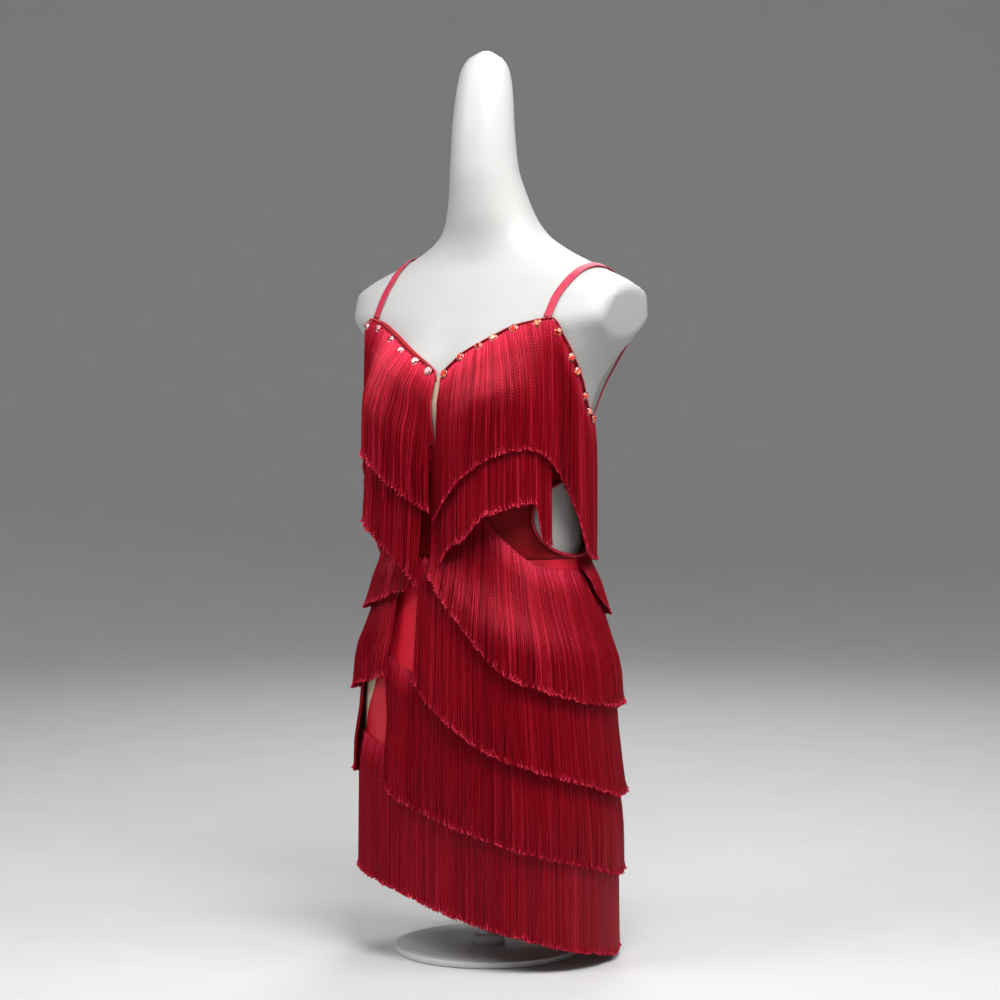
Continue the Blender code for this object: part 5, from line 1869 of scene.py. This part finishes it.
@dataclass
class FringeMaker:
    """Hangs every fringe, from the innermost to the outermost."""

    figure: Figure
    layers: Layers
    strands: StrandTree
    rows: RowTree
    parts: SmallParts
    spacing: float = 0.00042
    diameter: float = 0.00125
    points: int = 10
    header_height: float = 0.006
    header_wall: float = 0.0008
    header_sit: float = 0.0002
    header_cover: float = 0.0062
    root_ease: float = 0.016
    header_pitch: float = 0.005
    stitch_pitch: float = 0.0042
    stitch_share: float = 0.62
    column_pitch: float = 0.006
    guide_rows: int = 34
    tuft: float = 0.022
    overlap: float = 2.5

    def guide(self, spec: FringeSpec) -> tuple[Grid, Surface, Array, float]:
        """The sheet on which a fringe's strands hang.

        Args:
            spec: The fringe.

        Returns:
            The sheet, its radius by bearing and height, its UV places and the length of its root.
        """
        layers = self.layers
        covered = layers.radius.copy()
        tops = []
        for i, bearing in enumerate(layers.bearings):
            turned = spec.nearest(float(bearing))
            top = int((spec.lines(turned)[0] + self.header_height) / layers.rise) + 1
            tops.append(top)
            covered[i, top:] = covered[i, min(top, covered.shape[1] - 1)]
        tall = round(spec.stiff / layers.rise)
        wide = layers.pooled(np.max, covered, 2, tall)
        low = np.maximum.accumulate(wide[:, ::-1], axis=1)[:, ::-1]
        for i, top in enumerate(tops):
            wide[i, :top] = low[i, :top]
        path = layers.pooled(np.mean, wide, 2, tall) + spec.clearance
        seat = layers.pooled(np.mean, layers.pooled(np.max, layers.radius, 1, 1), 1, 1)
        seat += self.header_sit
        for i, top in enumerate(tops):
            drop = (top - np.arange(path.shape[1])) * layers.rise - self.header_height
            ease = np.clip(drop / self.root_ease, 0.0, 1.0)
            ease = ease * ease * (3.0 - 2.0 * ease)
            path[i] = path[i] * ease + seat[i] * (1.0 - ease)
            path[i] = np.maximum(path[i], seat[i])
        surface = Surface(layers.bearings, layers.heights, path)

        start, end = spec.ends
        if spec.closed:
            start, end = start - self.overlap, end + self.overlap
        bearings = np.linspace(start, end, 361)
        roots = np.array([spec.lines(float(b))[0] for b in bearings])
        reach = self.figure.cloth.read(bearings, roots - 0.05)
        step = np.radians(np.diff(bearings)) * reach[1:]
        travel = np.concatenate(((0.0,), np.cumsum(step)))
        width = float(travel[-1])
        margin = self.strands.margin
        count = max(24, int(width / self.column_pitch))
        us = np.linspace(-margin, 1.0 + margin, count)
        vs = np.linspace(0.0, self.strands.reach, self.guide_rows)
        slope_start = (bearings[1] - bearings[0]) / (travel[1] - travel[0])
        slope_end = (bearings[-1] - bearings[-2]) / (travel[-1] - travel[-2])
        columns = []
        for u in us:
            metres = u * width
            bearing = float(np.interp(metres, travel, bearings))
            if metres < 0.0:
                bearing += metres * slope_start
            elif metres > width:
                bearing += (metres - width) * slope_end
            inside = bearing if spec.closed else min(max(bearing, start), end)
            root, hem = spec.lines(inside)
            top = root + self.header_cover
            heights = top - (top - hem) * vs
            near = min(max(u, 0.0), 1.0)
            lean = spec.lean_start * (1.0 - near) ** 10 + spec.lean_end * near**10
            turns = spec.sign * (bearing + lean * vs)
            swing_out = spec.flare * np.clip(2.0 * vs - 1.0, 0.0, 1.2)
            swing_out = swing_out + spec.swell_end * near**2 * np.clip(4.0 * vs, 0.0, 1.0)
            radius = surface.read(turns, heights) + swing_out
            columns.append([place(*spot) for spot in zip(turns, heights, radius)])
        across, down = (us + margin) / (1.0 + 2.0 * margin), vs / self.strands.reach
        places = np.stack(np.meshgrid(across, down, 0.0, indexing="ij"), axis=-1)
        return Grid(np.array(columns)), surface, places, width

    def build(self, spec: FringeSpec) -> list[Object]:
        """Builds one fringe with its header strip and its stitches.

        Args:
            spec: The fringe.

        Returns:
            The strands, the header and the stitches.
        """
        grid, surface, places, width = self.guide(spec)
        values = {
            "Strands": int(width / self.spacing * spec.density), "Points": self.points,
            "Seed": spec.seed, "Diameter": self.diameter * spec.stout, "Width": width,
            "Tuft": self.tuft, "Material": STRANDS.material(),
        }
        for label in ("Depth", "Bunching", "Sway", "Stray", "Uneven", "Curl", "Clump", "Contrast"):
            values[label] = getattr(spec, label.lower())
        mesh = grid.mesh("guide")
        keep_vectors(mesh, "guide", places)
        strands = self.strands.run(f"{spec.name}_strands", mesh, values)
        made = [strands, self.build_header(spec, width), self.build_stitches(spec, width)]
        self.record(spec, surface)
        return made

    def header_line(self, spec: FringeSpec, width: float, pitch: float) -> Array:
        """Bearings a near constant distance apart along a fringe's roots."""
        count = max(8, int(width / pitch))
        return np.linspace(*spec.ends, count, endpoint=not spec.closed)

    def build_header(self, spec: FringeSpec, width: float) -> Object:
        """The narrow woven band from which the strands hang."""
        columns = []
        for bearing in self.header_line(spec, width, self.header_pitch):
            root = spec.lines(float(bearing))[0]
            turn, heights = spec.sign * bearing, np.linspace(root, root + self.header_height, 4)
            columns.append([self.figure.on_cloth(turn, float(h), self.header_sit) for h in heights])
        name = f"{spec.name}_header"
        mesh = Grid(np.array(columns), spec.closed).mesh(name)
        return with_wall(new_piece(name, mesh, BRAID), self.header_wall)

    def build_stitches(self, spec: FringeSpec, width: float) -> Object:
        """The row of stitches that holds the header."""
        lift = self.header_sit + self.header_wall + self.parts.stitch_radius
        points = []
        for bearing in self.header_line(spec, width, self.stitch_pitch):
            height = spec.lines(float(bearing))[0] + self.header_height * self.stitch_share
            points.append(self.figure.on_cloth(spec.sign * bearing, height, lift))
        name = f"{spec.name}_stitches"
        return self.rows.place(name, np.array(points), self.parts.stitch(), 0.1, spec.seed)

    def record(self, spec: FringeSpec, surface: Surface) -> None:
        """Adds a finished fringe to the layers, so that the next one hangs outside it.

        Args:
            spec: The fringe.
            surface: The radius on which its strands hang.
        """
        layers, up = self.layers, self.layers.heights
        band = self.header_sit + self.header_wall + 2.0 * self.parts.stitch_radius
        for i, bearing in enumerate(layers.bearings):
            turned = spec.turned(float(bearing))
            if turned is None:
                continue
            root, hem = spec.lines(turned)
            inside = (hem - layers.rise <= up) & (up <= root + self.header_height)
            fill = spec.depth * (0.4 + 0.6 * np.minimum(1.0, (root - up) / 0.05))
            header = self.figure.cloth_outside(bearing, up) + band
            outer = np.where(up > root, header, surface.radius[i] + fill)
            held = layers.radius[i]
            layers.radius[i] = np.where(inside, np.maximum(held, outer), held)


# ---- studio
class Lamp(NamedTuple):
    """A soft round light that looks at the dress; its reach and size are in metres."""

    name: str
    azimuth: float
    elevation: float
    reach: float
    size: float
    power: float


LAMPS = table(
    Lamp, ("key_light", 52.0, 48.0, 1.38, 0.9, 28.5), ("side_light", -30.0, 34.0, 1.8, 1.0, 17.5),
    ("right_light", 104.0, 38.0, 2.0, 1.0, 15.0), ("back_light", 205.0, 40.0, 2.9, 1.4, 42.0),
)


@dataclass
class Studio:
    """Floor, soft light, pale surroundings and the camera."""

    azimuth: float = 35.0
    distance: float = 3.5
    eye_height: float = 0.772
    focal: float = 2.73
    centre_x: float = 0.012
    centre_y: float = 0.148
    sensor: float = 36.0
    aim_height: float = 0.75
    floor_radius: float = 3.4
    floor_sweep: float = 2.2
    wall_height: float = 5.5
    floor_level: float = -0.0005
    air: float = 0.22

    def floor(self) -> None:
        """A pale floor that curves up all round; it is no part of the object."""
        rings = []
        for share in np.linspace(0.02, 1.0, 12):
            rings.append((self.floor_radius * share, self.floor_level))
        for turn in np.linspace(0.0, math.pi / 2.0, 14)[1:]:
            reach = self.floor_radius + self.floor_sweep * math.sin(turn)
            rings.append((reach, self.floor_level + self.floor_sweep * (1.0 - math.cos(turn))))
        rings.append((self.floor_radius + self.floor_sweep, self.wall_height))
        sheet = Grid(np.swapaxes(revolved(rings), 0, 1), closed=True)
        mesh = sheet.mesh("studio_floor", lambda point: (-point[0], -point[1], 2.0))
        item = new_piece("studio_floor", mesh, PAPER)
        item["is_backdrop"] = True

    def lamp(self, lamp: Lamp) -> None:
        """Hangs one light."""
        light = bpy.data.lights.new(lamp.name, "AREA")
        light.shape = "DISK"
        light.size = lamp.size
        light.energy = lamp.power
        item = linked(lamp.name, light)
        turn, rise = math.radians(lamp.azimuth), math.radians(lamp.elevation)
        flat, up = lamp.reach * math.cos(rise), lamp.reach * math.sin(rise)
        item.location = (flat * math.sin(turn), -flat * math.cos(turn), self.aim_height + up)
        item.rotation_euler = (math.pi / 2.0 - rise, 0.0, turn)

    def world(self) -> None:
        """Pale surroundings."""
        world = bpy.data.worlds.new("studio_air")
        world.use_nodes = True
        back = world.node_tree.nodes["Background"]
        back.inputs["Color"].default_value = (1.0, 1.0, 1.0, 1.0)
        back.inputs["Strength"].default_value = self.air
        bpy.context.scene.world = world

    def camera(self) -> None:
        """The camera, aimed a little below the horizon."""
        turn = math.radians(self.azimuth)
        forward = np.array((-math.sin(turn), math.cos(turn), 0.0))
        right = np.array((math.cos(turn), math.sin(turn), 0.0))
        up = np.array((0.0, 0.0, 1.0))
        aim = forward + right * self.centre_x / self.focal - up * self.centre_y / self.focal
        data = bpy.data.cameras.new("camera")
        data.sensor_width = self.sensor
        data.lens = self.focal * self.sensor / float(np.linalg.norm(aim))
        item = linked("camera", data)
        item.location = (*(-forward * self.distance)[:2], self.eye_height)
        yaw = math.atan2(-aim[0], aim[1])
        pitch = math.atan2(aim[2], math.hypot(aim[0], aim[1]))
        item.rotation_euler = (math.pi / 2.0 + pitch, 0.0, yaw)
        bpy.context.scene.camera = item

    def build(self) -> None:
        """Sets up the whole studio."""
        bpy.context.scene.view_settings.view_transform = "Standard"
        self.floor()
        self.world()
        for lamp in LAMPS:
            self.lamp(lamp)
        self.camera()


# ---- whole scene
def keep(item: Object, slot: str, *nodes: str) -> Object:
    """Puts a finished piece on the body and hides the nodes that it stands for; the slot is not
    used.
    """
    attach(item, BODY)
    if nodes:
        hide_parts(*nodes)
    LOG.info("%s: %d faces", item.name, len(item.data.polygons))
    return item


def edge_rows(
    edge: BodiceEdge, hems: Sequence[Edge], drop: float, side: Side = Side.LEFT
) -> tuple[Tier, ...]:
    """A fringe whose roots follow the bodice's upper edge on one side."""
    sign = side.value
    return tuple(Tier(h.bearing, edge.below(sign * h.bearing, drop), h.height) for h in hems)


@dataclass
class Dress:
    """The whole dress on its form."""

    figure: Figure = field(default_factory=Figure)
    root_drop: float = 0.008

    def fringes(self, edge: BodiceEdge) -> tuple[FringeSpec, ...]:
        """Every fringe, from the innermost to the outermost.

        Args:
            edge: The bodice's upper edge, which the bust and back fringes follow.

        Returns:
            What each fringe needs, in the order of hanging.
        """
        bust_left = edge_rows(edge, BUST_HEMS, self.root_drop)
        bust_right = edge_rows(edge, BUST_HEMS_RIGHT, self.root_drop, Side.RIGHT)
        back = edge_rows(edge, BACK_HEMS, self.root_drop)
        middle = {"stiff": 0.024, "bunching": 0.4, "clearance": 0.0022, "contrast": 0.6}
        return (
            FringeSpec(
                "fringe_low", "fringe_tier_d", TIER_D, 11, closed=True,
                bunching=0.06, contrast=0.6, stiff=0.024, density=1.45, drop=0.005, sway=0.001,
                stray=0.0009, clump=0.0002, stout=1.3, clearance=0.0048,
            ),
            FringeSpec("fringe_mid_low", "fringe_tier_c", TIER_C, 23, lean_start=7.0, **middle),
            FringeSpec("fringe_mid_high", "fringe_tier_b", TIER_B, 37, lean_start=5.0, **middle),
            FringeSpec(
                "fringe_high", "fringe_tier_a", TIER_A, 41, stiff=0.021, lean_end=6.0,
                clearance=0.0032, density=1.12, swell_end=0.0015, contrast=0.7,
            ),
            FringeSpec(
                "fringe_hip", "fringe_waist", WAIST_TIER, 53, clearance=0.0,
                swell_end=0.0055, curl=0.003,
            ),
            FringeSpec(
                "fringe_rib_left", "fringe_under_left", UNDER_TIER_LEFT, 67,
                density=1.5, stray=0.0015,
            ),
            FringeSpec(
                "fringe_rib_right", "fringe_under_right", UNDER_TIER_RIGHT, 71, flare=0.004,
                clearance=0.005,
            ),
            FringeSpec(
                "fringe_rear", "fringe_back", back, 83, clearance=0.0003, depth=0.0026, stiff=0.006,
            ),
            FringeSpec(
                "fringe_cup_left", "fringe_bust_left", bust_left, 97, depth=0.0034, stiff=0.006
            ),
            FringeSpec(
                "fringe_cup_right", "fringe_bust_right", bust_right, 103, mirrored=True,
                depth=0.0034, clearance=0.0022,
            ),
        )

    def build(self) -> None:
        edge = BodiceEdge(self.figure)
        form = DressForm(self.figure)
        shell = keep(form.build_shell(), "form_gloss", "form_body")
        plate, stem = form.build_stand()
        keep(plate, "stand_paint", "form_base")
        keep(stem, "stand_paint", "form_post")

        cloth = Cloth(self.figure, edge)
        panels = {
            "cup_left": keep(cloth.build_cup(Side.LEFT), "stretch_cloth", "cup_left"),
            "cup_right": keep(cloth.build_cup(Side.RIGHT), "stretch_cloth", "cup_right"),
            "centre": keep(cloth.build_centre(), "nude_mesh", "centre_mesh"),
            "midriff": keep(cloth.build_midriff(), "stretch_cloth", "front_midriff"),
            "back": keep(cloth.build_back(), "stretch_cloth", "back_bodice"),
            "skirt": keep(cloth.build_skirt(), "stretch_cloth", "skirt"),
            "inset": keep(cloth.build_inset(), "nude_mesh", "hip_mesh"),
        }
        straps = Straps(self.figure, edge)
        for side in Side:
            strap = keep(straps.build(side), "strap_elastic", f"strap_{side.key}")
            panels[strap.name] = strap

        rows, parts = RowTree(self.figure), SmallParts()
        trim = Trim(self.figure, edge, cloth, rows, parts)
        trims: dict[Side, list[Object]] = {}
        for k, side in enumerate(Side):
            node = f"edge_trim_{side.key}"
            trims[side] = [
                keep(trim.build_piping(side), "edge_trim", node),
                keep(trim.build_beads(side, 5 + k), "edge_trim", node),
                keep(trim.build_stones(side, 15 + k), "edge_trim", node),
            ]
        cord = keep(trim.build_binding(), "edge_trim", "cutout_binding")

        maker = FringeMaker(self.figure, Layers(self.figure), StrandTree(), rows, parts)
        made: dict[str, list[Object]] = {}
        for spec in self.fringes(edge):
            pieces = maker.build(spec)
            made[spec.name] = [keep(item, "fringe_strands", spec.node) for item in pieces]

        on_skirt = made["fringe_low"] + made["fringe_mid_low"] + made["fringe_mid_high"]
        on_skirt += made["fringe_high"]
        fixed = {
            "cup_left": made["fringe_cup_left"] + made["fringe_rib_left"] + trims[Side.LEFT],
            "cup_right": made["fringe_cup_right"] + made["fringe_rib_right"] + trims[Side.RIGHT],
            "midriff": made["fringe_hip"] + [cord], "back": made["fringe_rear"], "skirt": on_skirt,
        }
        grids = {**cloth.grids, **straps.grids}
        for key, item in panels.items():
            grid = grids[item.name]
            width, length = grid.spans()
            area = min(grid.area(), width * length)
            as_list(fixed.get(key, []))


def main() -> None:
    """Builds the scene."""
    logging.basicConfig(level=logging.INFO, format="%(message)s")
    Dress().build()
    Studio().build()
    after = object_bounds()
    sizes = {"cad": [list(map(float, corner)) for corner in CAD_BOX]}
    sizes["visual"] = [list(map(float, corner)) for corner in after]
    LOG.info("cad %s, visual %s", sizes["cad"], sizes["visual"])


if __name__ == "__main__":
    main()
